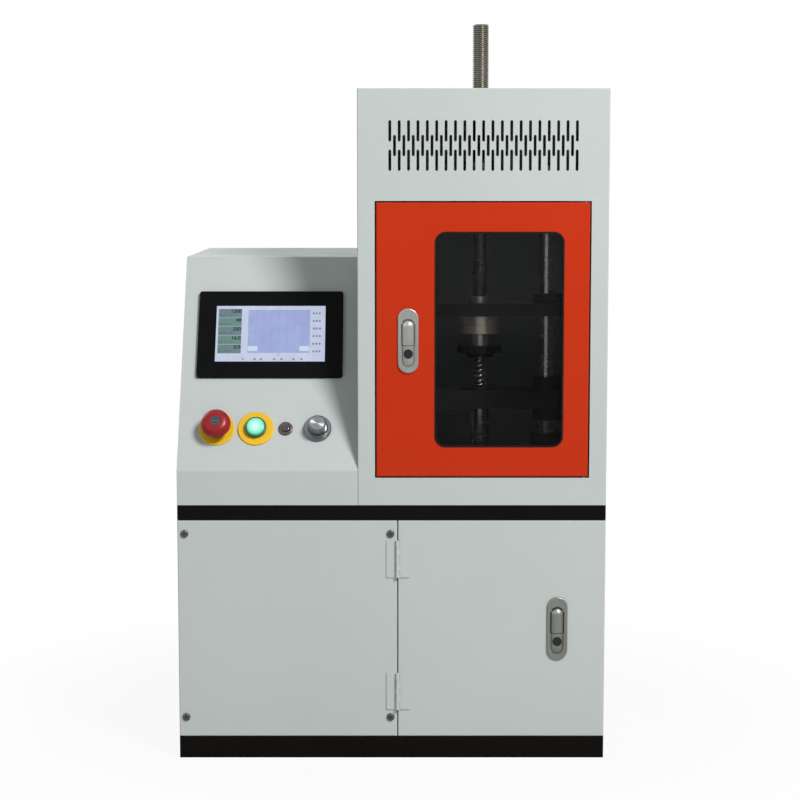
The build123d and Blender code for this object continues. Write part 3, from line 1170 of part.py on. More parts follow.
def make_drive_frame():
    """Drive plate on four posts, with the screw bearing housing on it."""
    left = AXIS_X - DRIVE_PLATE_OVERHANG
    right = RIGHT - SHEET - DRIVE_PLATE_WALL_GAP
    front = AXIS_Y - DRIVE_PLATE_DEPTH / 2
    back = AXIS_Y + DRIVE_PLATE_DEPTH / 2
    plate = block((left, front, DRIVE_PLATE_BOTTOM), (right, back, DRIVE_PLATE_TOP))
    for x in (left + DRIVE_POST_INSET, right - DRIVE_POST_INSET):
        for y in (front + DRIVE_POST_INSET, back - DRIVE_POST_INSET):
            plate += rod(DRIVE_POST, PLINTH_HEIGHT, DRIVE_PLATE_BOTTOM, x, y)
    flange_top = DRIVE_PLATE_TOP + BEARING_FLANGE_THICKNESS
    body_top = flange_top + BEARING_BODY_LENGTH
    plate += rod(BEARING_FLANGE, DRIVE_PLATE_TOP, flange_top, AXIS_X, AXIS_Y)
    plate += rod(BEARING_BODY, flange_top, body_top, AXIS_X, AXIS_Y)
    plate -= rod(BALL_SCREW_DIAMETER + 2 * RUNNING_FIT, DRIVE_PLATE_BOTTOM, body_top, AXIS_X, AXIS_Y)
    return plate - rod(MOTOR_SHAFT + 2 * RUNNING_FIT, DRIVE_PLATE_BOTTOM, DRIVE_PLATE_TOP, MOTOR_X, AXIS_Y)


def pitch_radius(teeth):
    return teeth * TOOTH_PITCH / (2 * math.pi)


def pulley(teeth, bore):
    """Toothed belt pulley about the origin, from z = 0 up."""
    outer = pitch_radius(teeth)
    disc = Circle(outer)
    groove_width = TOOTH_PITCH / 2
    grooves = []
    for index in range(teeth):
        turn = Rot(0, 0, index * 360 / teeth)
        grooves.append(turn * (Pos(outer, 0) * Rectangle(2 * TOOTH_DEPTH, groove_width)))
    outline = disc - grooves - Circle(bore / 2)
    return extrude(outline, amount=PULLEY_WIDTH)


def make_driven_pulley():
    return Pos(AXIS_X, AXIS_Y, PULLEY_BOTTOM) * pulley(DRIVEN_TEETH, BALL_SCREW_DIAMETER + 2 * SEAT_FIT)


def make_drive_pulley():
    """Small pulley on the motor shaft."""
    wheel = Pos(MOTOR_X, AXIS_Y, PULLEY_BOTTOM) * pulley(DRIVE_TEETH, MOTOR_SHAFT)
    return wheel + rod(MOTOR_SHAFT, PULLEY_BOTTOM, DRIVE_PLATE_TOP, MOTOR_X, AXIS_Y)


def belt_outline(gap):
    """Closed loop round both pulleys, this far outside their rims."""
    big = pitch_radius(DRIVEN_TEETH) + gap
    small = pitch_radius(DRIVE_TEETH) + gap
    lean = math.acos((big - small) / PULLEY_CENTRES)
    upper = [(big * math.cos(lean), big * math.sin(lean)),
             (PULLEY_CENTRES + small * math.cos(lean), small * math.sin(lean))]
    lower = [(x, -y) for x, y in reversed(upper)]
    flanks = make_face(Polyline(*upper, *lower, close=True))
    return flanks + Circle(big) + Pos(PULLEY_CENTRES, 0) * Circle(small)


def make_timing_belt():
    outline = belt_outline(BELT_CLEARANCE + BELT_THICKNESS) - belt_outline(BELT_CLEARANCE)
    bottom = PULLEY_BOTTOM + (PULLEY_WIDTH - BELT_WIDTH) / 2
    return Pos(AXIS_X, AXIS_Y, bottom) * extrude(outline, amount=BELT_WIDTH)


def make_servo_motor():
    """Square servo motor on the drive plate, with its encoder cover and connector."""
    top = DRIVE_PLATE_TOP + MOTOR_LENGTH
    outline = RectangleRounded(MOTOR_SIZE, MOTOR_SIZE, MOTOR_CORNER)
    body = Pos(MOTOR_X, AXIS_Y, DRIVE_PLATE_TOP) * extrude(outline, amount=MOTOR_LENGTH)
    cover = RectangleRounded(ENCODER_SIZE, ENCODER_SIZE, MOTOR_CORNER)
    body += Pos(MOTOR_X, AXIS_Y, top) * extrude(cover, amount=ENCODER_LENGTH)
    low = (MOTOR_X - CONNECTOR_SIZE / 2, AXIS_Y + MOTOR_SIZE / 2, top - 2 * CONNECTOR_SIZE)
    high = (MOTOR_X + CONNECTOR_SIZE / 2, AXIS_Y + MOTOR_SIZE / 2 + CONNECTOR_SIZE, top - CONNECTOR_SIZE)
    return body + block(low, high)


def make_control_gear():
    """Mounting plate with the servo drive and the power supply in the left compartment."""
    left = LEFT + SHEET + POST_SIZE + GEAR_POST_GAP
    right = SEAM_X - POST_SHIFT - SHEET / 2 - GEAR_PARTITION_GAP
    plate_back = BACK - SHEET - GEAR_STANDOFF
    plate_front = plate_back - SHEET
    bottom = PLINTH_HEIGHT + GEAR_PLATE_RISE
    top = bottom + GEAR_PLATE_HEIGHT
    gear = block((left, plate_front, bottom), (right, plate_back, top))
    for x in (left + GEAR_STANDOFF, right - GEAR_STANDOFF):
        for z in (bottom + GEAR_STANDOFF, top - GEAR_STANDOFF):
            gear += front_extrude(Circle(GEAR_STANDOFF_WIDTH / 2), plate_back, BACK - SHEET, x, z)
    drive_x = left + (right - left) * SERVO_DRIVE_SHARE
    drive_half = SERVO_DRIVE_WIDTH / 2
    gear += block((drive_x - drive_half, plate_front - SERVO_DRIVE_DEPTH, bottom + SERVO_DRIVE_END_GAP),
                  (drive_x + drive_half, plate_front, top - SERVO_DRIVE_END_GAP))
    supply_x = left + (right - left) * SUPPLY_SHARE
    supply_half = SUPPLY_WIDTH / 2
    gear += block((supply_x - supply_half, plate_front - SUPPLY_DEPTH, bottom + SUPPLY_FOOT_GAP),
                  (supply_x + supply_half, plate_front, top - GEAR_STANDOFF))
    return gear


def make_power_inlet():
    """Mains inlet socket in the rear of the cabinet."""
    left = LEFT + INLET_FROM_LEFT - INLET_WIDTH / 2
    right = left + INLET_WIDTH
    bottom = PLINTH_HEIGHT + INLET_RISE
    top = bottom + INLET_HEIGHT
    rear = BACK + INLET_PROUD
    edge = INLET_FLANGE
    outer = block((left, BACK - INLET_DEPTH, bottom), (right, BACK, top))
    flange = block((left - edge, BACK, bottom - edge), (right + edge, rear, top + edge))
    socket_low = (left + edge, BACK - INLET_DEPTH + edge, bottom + edge)
    return outer + flange - block(socket_low, (right - edge, rear, top - edge))


def make_parts():
    return {
        "base_plinth": make_base_plinth(),
        "cabinet_wrap": make_cabinet_wrap(),
        "cabinet_posts": make_cabinet_posts(),
        "cabinet_partition": make_cabinet_partition(),
        "left_front_panel": make_left_front_panel(),
        "panel_screws": make_panel_screws(),
        "table_plate": make_table_plate(),
        "lower_door": make_lower_door(),
        "hinge_fixed_leaves": make_hinge_fixed_leaves(),
        "hinge_moving_leaves": make_hinge_moving_leaves(),
        "lower_lock_housing": make_lock_housing(LOWER_LOCK),
        "lower_lock_paddle": make_lock_paddle(LOWER_LOCK),
        "lower_lock_key": make_lock_key(LOWER_LOCK, LOWER_CAM_LENGTH),
        "test_door": make_test_door(),
        "test_door_pane": make_test_door_pane(),
        "window_gasket": make_window_gasket(),
        "test_door_pivots": make_test_door_pivots(),
        "upper_lock_housing": make_lock_housing(UPPER_LOCK),
        "upper_lock_paddle": make_lock_paddle(UPPER_LOCK),
        "upper_lock_key": make_lock_key(UPPER_LOCK, UPPER_CAM_LENGTH),
        "tower_front_frame": make_tower_front_frame(),
        "vent_grille": make_vent_grille(),
        "tower_wrap": make_tower_wrap(),
        "tower_rear_panel": make_tower_rear_panel(),
        "roof_grommet": make_roof_grommet(),
        "console_shell": make_console_shell(),
        "hmi_bezel": make_hmi_bezel(),
        "hmi_screen": make_hmi_screen(),
        "hmi_housing": make_hmi_housing(),
        "legend_rings": make_legend_rings(),
        "estop_body": make_estop_body(),
        "estop_stem": make_estop_stem(),
        "estop_head": make_estop_head(),
        "start_body": make_start_body(),
        "start_lens": make_start_lens(),
        "reset_bezel": make_reset_bezel(),
        "reset_cap": make_reset_cap(),
        "speed_pot": make_speed_pot(),
        "speed_knob": make_speed_knob(),
        "base_block": make_base_block(),
        "guide_columns": make_guide_columns(),
        "crown_plate": make_crown_plate(),
        "adjusting_nut": make_adjusting_nut(),
        "adjusting_screw": make_adjusting_screw(),
        "upper_crosshead": make_upper_crosshead(),
        "load_cell": make_load_cell(),
        "upper_spring_seat": make_upper_spring_seat(),
        "test_spring": make_test_spring(),
        "lower_crosshead": make_lower_crosshead(),
        "ram": make_ram(),
        "ball_nut": make_ball_nut(),
        "ball_screw": make_ball_screw(),
        "drive_frame": make_drive_frame(),
        "driven_pulley": make_driven_pulley(),
        "drive_pulley": make_drive_pulley(),
        "timing_belt": make_timing_belt(),
        "servo_motor": make_servo_motor(),
        "control_gear": make_control_gear(),
        "power_inlet": make_power_inlet(),
    }


os.makedirs("parts", exist_ok=True)
for name, part in make_parts().items():
    export_step(part, f"parts/{name}.step")
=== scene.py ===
import json
import math
import random

import bpy
from mathutils import Matrix, Vector


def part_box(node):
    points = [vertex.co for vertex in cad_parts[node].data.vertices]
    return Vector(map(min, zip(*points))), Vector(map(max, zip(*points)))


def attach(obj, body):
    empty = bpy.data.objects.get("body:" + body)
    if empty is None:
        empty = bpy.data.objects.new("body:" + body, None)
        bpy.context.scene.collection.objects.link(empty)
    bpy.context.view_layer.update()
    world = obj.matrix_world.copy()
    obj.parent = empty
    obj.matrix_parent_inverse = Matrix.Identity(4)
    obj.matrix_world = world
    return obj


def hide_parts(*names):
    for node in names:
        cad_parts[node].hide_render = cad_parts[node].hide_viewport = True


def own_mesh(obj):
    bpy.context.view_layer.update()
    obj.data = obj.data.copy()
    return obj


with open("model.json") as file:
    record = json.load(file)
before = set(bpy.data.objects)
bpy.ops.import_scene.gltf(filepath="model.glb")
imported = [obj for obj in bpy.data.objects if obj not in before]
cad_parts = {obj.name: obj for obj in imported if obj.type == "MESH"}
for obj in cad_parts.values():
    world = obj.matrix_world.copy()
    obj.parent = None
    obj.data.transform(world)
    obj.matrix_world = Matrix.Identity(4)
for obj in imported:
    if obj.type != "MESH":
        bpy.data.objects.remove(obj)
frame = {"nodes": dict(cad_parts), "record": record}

random.seed(7)
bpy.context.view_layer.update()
NODES = frame["nodes"]

# Places in the machine's frame, in metres
LEFT = -0.300
FRONT = -0.270
KNEE_HEIGHT = 0.4106
SLOPE_RUN = 0.174
SLOPE_RISE = 0.2911
AXIS = (0.130, -0.070)
CONTROL_RISE = 0.0637
ESTOP_PLACE = 0.054
START_PLACE = 0.109
KNOB_PLACE = 0.196
DISPLAY_PLACE = 0.126
DISPLAY_RISE = 0.211
SCREEN_SIZE = (0.157, 0.0895)
SCREEN_TOP = 0.0048
SCREEN_LEVEL = 0.00004
READOUT_LEFT = 0.0030
READOUT_TOP = 0.0048
READOUT_WIDTH = 0.0336
READOUT_ROW = 0.01434
READOUT_GAP = 0.0004
PLOT_LEFT = 0.0460
PLOT_TOP = 0.0064
PLOT_WIDTH = 0.0890
PLOT_HEIGHT = 0.0690
PLOT_LINE = 0.0003
KEY_TOP = 0.0645
KEY_SIZE = (0.0140, 0.0078)
STOP_TOP = 0.0294
LENS_HEIGHT = 0.0115
LENS_RIM = 0.0140
LENS_MIDDLE = 0.0035
KNOB_TOP = 0.0205
KNOB_FACE_RADIUS = 0.0098
KNOB_RING = 0.00035
PANEL_SCREWS = [(-0.290, 0.3215), (-0.0014, 0.3215), (-0.290, 0.059), (-0.0014, 0.059)]
SCREW_HEAD_FRONT = -0.2726
INLET = (-0.220, 0.0655)
PIN_PLACES = [(0.0, 0.0034), (-0.0070, -0.0020), (0.0070, -0.0020)]
PIN_SIZE = (0.0020, 0.0045, 0.0008)
PIN_LENGTH = 0.0155
PIN_REAR = 0.2660
PANEL_CROSS = (0.0024, 0.0010)
REAR_CROSS = (0.0018, 0.0007)
REAR_SCREW_INSET = 0.0075
# Black strip behind the door's top gap: painted shade in the gap
GAP_SHADE_PLACE = (-0.24985, 0.7838)
GAP_SHADE_SIZE = (0.0033, 0.0038)
GAP_SHADE_ROUND = 0.0012
GAP_SHADE_RUN = (-0.0205, 0.245)
REAR_SCREW_ROWS = 5
REAR_HEAD = [(0.0036, -0.0004), (0.0038, 0.0002), (0.0038, 0.0009), (0.0032, 0.0016), (0.0020, 0.0020),
             (0.0008, 0.0021)]

# The adjusting screw and its lock collar
SCREW_FOOT = 0.633
SCREW_TIP = 1.039
SCREW_RADIUS = 0.012
THREAD_PITCH = 0.003
THREAD_DEPTH = 0.0016
SCREW_CHAMFER = 0.002
COLLAR_RADIUS = 0.0165
COLLAR_TOP = 0.643
COLLAR_BORE = 0.011
COLLAR_EDGE = 0.001
COLLAR_SEGMENTS = 64
THREAD_ROWS = 8
THREAD_SEGMENTS = 48

# The ball screw in the lower cabinet
BALL_SCREW_FOOT = 0.0625
BALL_SCREW_TIP = 0.3305
BALL_SCREW_RADIUS = 0.010
BALL_LEAD = 0.005
BALL_GROOVE = 0.0011
BALL_ROWS = 12
BALL_SEGMENTS = 40

# Material numbers: the noise's usual range, the spread of the roughness, worn edges and grain depth
NOISE_LOW = 0.3
NOISE_HIGH = 0.7
ROUGH_SPREAD = 0.06
EDGE_RADIUS = 0.0008
GRAIN_DEPTH = 0.0002

# Camera and lamps
CAMERA_PLACE = (0.01197, -3.070, 0.82206)
CAMERA_TILT = 0.111
CAMERA_LENS = 91.2
CAMERA_SENSOR = 36.0
LAMP_TARGET = (0.0, 0.0, 0.5)
LAMPS = [
    ("key_lamp", 32.5, 37.7, 4.0, 1.1, 136.0, (1.0, 0.99, 0.97)),
    ("left_fill", -40.0, 20.0, 3.0, 1.6, 4.5, (1.0, 1.0, 0.96)),
    ("rear_fill", 228.0, 30.0, 3.0, 1.6, 30.0, (0.97, 0.98, 1.0)),
]
ROOM_LIGHT = (1.0, 0.99, 0.95, 1.0)
ROOM_STRENGTH = 0.23
FLOOR_RADIUS = 8.0
FLOOR_NEAR = 0.42
FLOOR_FAR = 0.80
FLOOR_WHITE_NEAR = 0.92

# Colours as they are read in the photograph
CASING = "#BDC5C5"
CASING_WEAR = "#D6DAD8"
BLACK = "#100E0C"
BLACK_WEAR = "#3B3834"
RED = "#BE300C"
RED_WEAR = "#E06A3C"
LOCK = "#A9AAA6"
KEY = "#23262C"
# seal rubber colour, also the painted shade of the strip behind the door's top gap
SEAL_AND_GAP_SHADE = "#0F0F0F"
# Lower lock: the lock casting's colour made darker, painted shade on the lower lock
LOWER_LOCK_SHADED = "#868A83"
DISPLAY_FRAME = "#0A0B0D"
YELLOW = "#E8B90C"
STOP_RED = "#900F15"
CONTROL = "#16181A"
GREEN_BEZEL = "#17573F"
STEEL = "#B3B1AB"
IRON = "#26272A"


def linear(text):
    """Linear colour of a six figure screen colour."""
    channels = []
    for start in (1, 3, 5):
        value = int(text[start:start + 2], 16) / 255
        if value <= 0.04045:
            channels.append(value / 12.92)
        else:
            channels.append(((value + 0.055) / 1.055) ** 2.4)
    return (*channels, 1.0)


# Camera of the photograph
def make_camera():
    data = bpy.data.cameras.new("camera")
    data.sensor_width = CAMERA_SENSOR
    data.lens = CAMERA_LENS
    data.clip_start = 0.05
    data.clip_end = 60.0
    camera = bpy.data.objects.new("camera", data)
    camera.location = CAMERA_PLACE
    camera.rotation_euler = (math.pi / 2 - CAMERA_TILT, 0.0, 0.0)
    bpy.context.scene.collection.objects.link(camera)
    bpy.context.scene.camera = camera


# Material building blocks
def new_material(name):
    material = bpy.data.materials.new(name)
    material.use_nodes = True
    tree = material.node_tree
    return material, tree, tree.nodes["Principled BSDF"]


def place_noise(tree, scale, detail, stretch=(1.0, 1.0, 1.0)):
    """Noise in the object's own coordinates."""
    coordinates = tree.nodes.new("ShaderNodeTexCoord")
    mapping = tree.nodes.new("ShaderNodeMapping")
    mapping.inputs["Scale"].default_value = stretch
    noise = tree.nodes.new("ShaderNodeTexNoise")
    noise.inputs["Scale"].default_value = scale
    noise.inputs["Detail"].default_value = detail
    tree.links.new(coordinates.outputs["Object"], mapping.inputs["Vector"])
    tree.links.new(mapping.outputs["Vector"], noise.inputs["Vector"])
    return noise.outputs["Fac"]


def remap(tree, value, from_low, from_high, to_low, to_high):
    node = tree.nodes.new("ShaderNodeMapRange")
    node.inputs["From Min"].default_value = from_low
    node.inputs["From Max"].default_value = from_high
    node.inputs["To Min"].default_value = to_low
    node.inputs["To Max"].default_value = to_high
    tree.links.new(value, node.inputs["Value"])
    return node.outputs["Result"]


def multiply(tree, first, second):
    node = tree.nodes.new("ShaderNodeMath")
    node.operation = "MULTIPLY"
    tree.links.new(first, node.inputs[0])
    tree.links.new(second, node.inputs[1])
    return node.outputs["Value"]


def mix_colours(tree, factor, first, second):
    """Mix of two colours, each a plain colour or a socket."""
    node = tree.nodes.new("ShaderNodeMix")
    node.data_type = "RGBA"
    tree.links.new(factor, node.inputs[0])
    for socket, colour in ((node.inputs[6], first), (node.inputs[7], second)):
        if isinstance(colour, tuple):
            socket.default_value = colour
        else:
            tree.links.new(colour, socket)
    return node.outputs[2]


def edge_mask(tree, radius, amount):
    """Where an edge of the piece turns, broken up by noise."""
    bevel = tree.nodes.new("ShaderNodeBevel")
    bevel.samples = 4
    bevel.inputs["Radius"].default_value = radius
    geometry = tree.nodes.new("ShaderNodeNewGeometry")
    turn = tree.nodes.new("ShaderNodeVectorMath")
    turn.operation = "DOT_PRODUCT"
    tree.links.new(bevel.outputs["Normal"], turn.inputs[0])
    tree.links.new(geometry.outputs["Normal"], turn.inputs[1])
    edge = remap(tree, turn.outputs["Value"], 0.995, 0.85, 0.0, amount)
    patches = remap(tree, place_noise(tree, 35.0, 3.0), 0.42, 0.6, 0.15, 1.0)
    return multiply(tree, edge, patches)


def add_bump(tree, shader, height, strength, distance):
    bump = tree.nodes.new("ShaderNodeBump")
    bump.inputs["Strength"].default_value = strength
    bump.inputs["Distance"].default_value = distance
    tree.links.new(height, bump.inputs["Height"])
    tree.links.new(bump.outputs["Normal"], shader.inputs["Normal"])


def shade(colour, factor):
    return (colour[0] * factor, colour[1] * factor, colour[2] * factor, 1.0)


def surface(name, colour, wear, roughness, metallic=0.0, grain=900.0, bump=0.15, variation=0.05,
            stretch=(1.0, 1.0, 1.0), specular=0.5, coat=0.0, wear_amount=0.5, blotch=5.0):
    """Coated, moulded or machined surface with grain, uneven tone and worn edges."""
    material, tree, shader = new_material(name)
    base = linear(colour)
    tone = remap(tree, place_noise(tree, blotch, 4.0), NOISE_LOW, NOISE_HIGH, 0.0, 1.0)
    uneven = mix_colours(tree, tone, shade(base, 1.0 - variation), shade(base, 1.0 + variation))
    worn = mix_colours(tree, edge_mask(tree, EDGE_RADIUS, wear_amount), uneven, linear(wear))
    tree.links.new(worn, shader.inputs["Base Color"])
    fine_tone = place_noise(tree, blotch * 6, 3.0, stretch)
    rough = remap(tree, fine_tone, NOISE_LOW, NOISE_HIGH, roughness - ROUGH_SPREAD, roughness + ROUGH_SPREAD)
    tree.links.new(rough, shader.inputs["Roughness"])
    add_bump(tree, shader, place_noise(tree, grain, 2.0, stretch), bump, GRAIN_DEPTH)
    shader.inputs["Metallic"].default_value = metallic
    shader.inputs["Specular IOR Level"].default_value = specular
    shader.inputs["Coat Weight"].default_value = coat
    return material


def lit_surface(name, colour, strength, grain=400.0):
    """Part of a lit display, with the faint unevenness of its light."""
    material, tree, shader = new_material(name)
    base = linear(colour)
    tone = remap(tree, place_noise(tree, 60.0, 3.0), NOISE_LOW, NOISE_HIGH, 0.0, 1.0)
    glow = mix_colours(tree, tone, shade(base, 0.94), shade(base, 1.06))
    tree.links.new(glow, shader.inputs["Emission Color"])
    shader.inputs["Emission Strength"].default_value = strength
    shader.inputs["Base Color"].default_value = shade(base, 0.08)
    rough = remap(tree, place_noise(tree, 80.0, 2.0), NOISE_LOW, NOISE_HIGH, 0.28, 0.36)
    shader.inputs["Specular IOR Level"].default_value = 0.10
    tree.links.new(rough, shader.inputs["Roughness"])
    add_bump(tree, shader, place_noise(tree, grain, 1.0), 0.03, 0.0001)
    return material


def pane_surface():
    """Smoked acrylic with faint wiping marks."""
    material, tree, shader = new_material("smoked_acrylic")
    tone = remap(tree, place_noise(tree, 6.0, 3.0), NOISE_LOW, NOISE_HIGH, 0.0, 1.0)
    tint = mix_colours(tree, tone, (0.006, 0.006, 0.007, 1.0), (0.010, 0.010, 0.010, 1.0))
    tree.links.new(tint, shader.inputs["Base Color"])
    smears = remap(tree, place_noise(tree, 7.0, 5.0, (1.0, 1.0, 0.35)), 0.35, 0.75, 0.03, 0.12)
    tree.links.new(smears, shader.inputs["Roughness"])
    add_bump(tree, shader, place_noise(tree, 4.0, 1.0), 0.02, 0.001)
    shader.inputs["Specular IOR Level"].default_value = 0.20
    shader.inputs["Alpha"].default_value = 0.21
    return material


def spun_surface():
    """Face of a turned knob: its highlight runs across the turning marks like a bow tie."""
    material, tree, shader = new_material("spun_face")
    base = linear("#8C8E90")
    tone = remap(tree, place_noise(tree, 90.0, 2.0), NOISE_LOW, NOISE_HIGH, 0.0, 1.0)
    uneven = mix_colours(tree, tone, shade(base, 0.93), shade(base, 1.05))
    tree.links.new(uneven, shader.inputs["Base Color"])
    rough = remap(tree, place_noise(tree, 300.0, 2.0), NOISE_LOW, NOISE_HIGH, 0.26, 0.34)
    tree.links.new(rough, shader.inputs["Roughness"])
    shader.inputs["Metallic"].default_value = 1.0
    shader.inputs["Anisotropic"].default_value = 0.9
    shader.inputs["Anisotropic Rotation"].default_value = 0.25
    tangent = tree.nodes.new("ShaderNodeTangent")
    tangent.direction_type = "RADIAL"
    tangent.axis = "Z"
    tree.links.new(tangent.outputs["Tangent"], shader.inputs["Tangent"])
    return material


def lens_surface():
    """Lit green lens, almost white in its middle."""
    material, tree, shader = new_material("lit_lens")
    coordinates = tree.nodes.new("ShaderNodeTexCoord")
    away = tree.nodes.new("ShaderNodeVectorMath")
    away.operation = "DISTANCE"
    away.inputs[1].default_value = tuple(on_panel_point(START_PLACE, CONTROL_RISE, LENS_HEIGHT))
    tree.links.new(coordinates.outputs["Object"], away.inputs[0])
    middle = remap(tree, away.outputs["Value"], LENS_RIM, LENS_MIDDLE, 0.0, 1.0)
    tone = remap(tree, place_noise(tree, 150.0, 2.0), NOISE_LOW, NOISE_HIGH, 0.85, 1.0)
    glow = mix_colours(tree, multiply(tree, middle, tone), linear("#12A878"), linear("#CFFFF0"))
    tree.links.new(glow, shader.inputs["Emission Color"])
    shader.inputs["Emission Strength"].default_value = 0.98
    shader.inputs["Base Color"].default_value = (0.02, 0.25, 0.16, 1.0)
    shader.inputs["Roughness"].default_value = 0.2
    add_bump(tree, shader, place_noise(tree, 500.0, 1.0), 0.05, 0.0001)
    return material


# Places on the sloped panel
def panel_matrix():
    length = math.hypot(SLOPE_RUN, SLOPE_RISE)
    right = Vector((1.0, 0.0, 0.0))
    up = Vector((0.0, SLOPE_RUN / length, SLOPE_RISE / length))
    out = right.cross(up)
    matrix = Matrix((right, up, out)).transposed().to_4x4()
    matrix.translation = Vector((LEFT, FRONT, KNEE_HEIGHT))
    return matrix


def on_panel_point(place, rise, height):
    return panel_matrix() @ Vector((place, rise, height))


def on_panel(place, rise, height=0.0):
    return panel_matrix() @ Matrix.Translation((place, rise, height))


# Mesh building blocks
def mesh_piece(name, vertices, faces, material, body, slot, matrix=None, smooth=False):
    mesh = bpy.data.meshes.new(name)
    mesh.from_pydata(vertices, [], faces)
    mesh.update()
    mesh.materials.append(material)
    if smooth:
        mesh.shade_smooth()
    piece = bpy.data.objects.new(name, mesh)
    bpy.context.scene.collection.objects.link(piece)
    piece.matrix_world = matrix or Matrix.Identity(4)
    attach(piece, body)
    return piece


def rounded_outline(width, height, corner, steps=5):
    """Corner points of a rounded rectangle about the origin, anticlockwise."""
    points = []
    centres = [(1, 1, 0), (-1, 1, 90), (-1, -1, 180), (1, -1, 270)]
    for side_x, side_y, start in centres:
        for step in range(steps + 1):
            angle = math.radians(start + 90 * step / steps)
            x = side_x * (width / 2 - corner) + corner * math.cos(angle)
            y = side_y * (height / 2 - corner) + corner * math.sin(angle)
            points.append((x, y))
    return points


def prism(outline, low, high, centre=(0.0, 0.0)):
    """Vertices and faces of an outline run between two heights."""
    count = len(outline)
    vertices = [(x + centre[0], y + centre[1], low) for x, y in outline]
    vertices += [(x + centre[0], y + centre[1], high) for x, y in outline]
    faces = [tuple(reversed(range(count))), tuple(range(count, 2 * count))]
    for index in range(count):
        after = (index + 1) % count
        faces.append((index, after, count + after, count + index))
    return vertices, faces


def joined(parts):
    """One list of vertices and faces out of several."""
    vertices = []
    faces = []
    for part_vertices, part_faces in parts:
        start = len(vertices)
        vertices += part_vertices
        faces += [tuple(start + index for index in face) for face in part_faces]
    return vertices, faces


def turned(profile, segments):
    """Vertices and faces of a profile of (radius, height) turned about z, closed at both ends."""
    vertices = []
    faces = []
    for radius, height in profile:
        for index in range(segments):
            angle = 2 * math.pi * index / segments
            vertices.append((radius * math.cos(angle), radius * math.sin(angle), height))
    for row in range(len(profile) - 1):
        for index in range(segments):
            after = (index + 1) % segments
            low = row * segments
            high = low + segments
            faces.append((low + index, low + after, high + after, high + index))
    faces.append(tuple(reversed(range(segments))))
    top = (len(profile) - 1) * segments
    faces.append(tuple(range(top, top + segments)))
    return vertices, faces


def threaded(bottom, top, radius, depth, pitch, rows_per_turn, segments, chamfer, rounded):
    """Rod with a helical thread: its radius falls and rises once in each turn's height."""
    rows = round((top - bottom) / pitch * rows_per_turn)
    vertices = []
    faces = []
    for row in range(rows + 1):
        height = bottom + (top - bottom) * row / rows
        end_limit = radius - max(0.0, chamfer - (top - height))
        for index in range(segments):
            share = ((height - bottom) / pitch - index / segments) % 1.0
            if rounded:
                cut = max(0.0, math.sin(2 * math.pi * share)) ** 0.5
            else:
                cut = 1.0 - min(1.0, abs(2 * share - 1.0) * 1.25)
            reach = min(radius - depth * cut, end_limit)
            angle = 2 * math.pi * index / segments
            vertices.append((reach * math.cos(angle), reach * math.sin(angle), height))
    for row in range(rows):
        for index in range(segments):
            after = (index + 1) % segments
            low = row * segments
            high = low + segments
            faces.append((low + index, low + after, high + after, high + index))
    faces.append(tuple(reversed(range(segments))))
    faces.append(tuple(range(rows * segments, (rows + 1) * segments)))
    return vertices, faces


# Pieces of the scene
def make_adjusting_screw(material, collar_material):
    """Threaded rod with its lock collar, in the place of the plain rod."""
    rod = threaded(SCREW_FOOT, SCREW_TIP, SCREW_RADIUS, THREAD_DEPTH, THREAD_PITCH, THREAD_ROWS,
                   THREAD_SEGMENTS, SCREW_CHAMFER, False)
    edge = COLLAR_EDGE
    round_off = edge * 0.3
    profile = [
        (COLLAR_BORE, SCREW_FOOT),
        (COLLAR_RADIUS, SCREW_FOOT),
        (COLLAR_RADIUS, COLLAR_TOP - edge),
        (COLLAR_RADIUS - round_off, COLLAR_TOP - round_off),
        (COLLAR_RADIUS - edge, COLLAR_TOP),
        (COLLAR_BORE, COLLAR_TOP),
    ]
    collar = turned(profile, COLLAR_SEGMENTS)
    place = Matrix.Translation((*AXIS, 0.0))
    piece = mesh_piece("adjusting_screw_thread", *rod, material, "upper_train", "thread_steel", place)
    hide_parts("adjusting_screw")
    mesh_piece("lock_collar", *collar, collar_material, "upper_train", "thread_steel", place)


def make_ball_screw(material):
    """Ball screw with its rounded helical groove, in the place of the plain rod."""
    vertices, faces = threaded(BALL_SCREW_FOOT, BALL_SCREW_TIP, BALL_SCREW_RADIUS, BALL_GROOVE, BALL_LEAD,
                               BALL_ROWS, BALL_SEGMENTS, SCREW_CHAMFER, True)
    piece = mesh_piece("ball_screw_groove", vertices, faces, material, "screw_shaft", "drive_steel",
                       Matrix.Translation((*AXIS, 0.0)))
    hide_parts("ball_screw")


def screen_plate(name, left, top, width, height, level, material, corner=0.0006):
    """Flat field of the display, placed from the screen's top left corner."""
    low = SCREEN_TOP + SCREEN_LEVEL * level
    outline = rounded_outline(width, height, min(corner, height / 3), 3)
    x = DISPLAY_PLACE - SCREEN_SIZE[0] / 2 + left + width / 2
    y = DISPLAY_RISE + SCREEN_SIZE[1] / 2 - top - height / 2
    vertices, faces = prism(outline, low, low + SCREEN_LEVEL)
    return mesh_piece(name, vertices, faces, material, "root", "display_glass", on_panel(x, y))


def screen_text(name, text, right, top, height, level, material):
    """Plain figures on the display, set flush to the right."""
    curve = bpy.data.curves.new(name, "FONT")
    curve.body = text
    curve.size = height
    curve.align_x = "RIGHT"
    curve.offset = height * 0.02
    shape = bpy.data.objects.new(name + "_shape", curve)
    bpy.context.scene.collection.objects.link(shape)
    bpy.context.view_layer.update()
    mesh = bpy.data.meshes.new_from_object(shape)
    bpy.data.objects.remove(shape)
    mesh.materials.clear()
    mesh.materials.append(material)
    piece = bpy.data.objects.new(name, mesh)
    bpy.context.scene.collection.objects.link(piece)
    x = DISPLAY_PLACE - SCREEN_SIZE[0] / 2 + right
    y = DISPLAY_RISE + SCREEN_SIZE[1] / 2 - top
    piece.matrix_world = on_panel(x, y, SCREEN_TOP + SCREEN_LEVEL * level)
    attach(piece, "root")


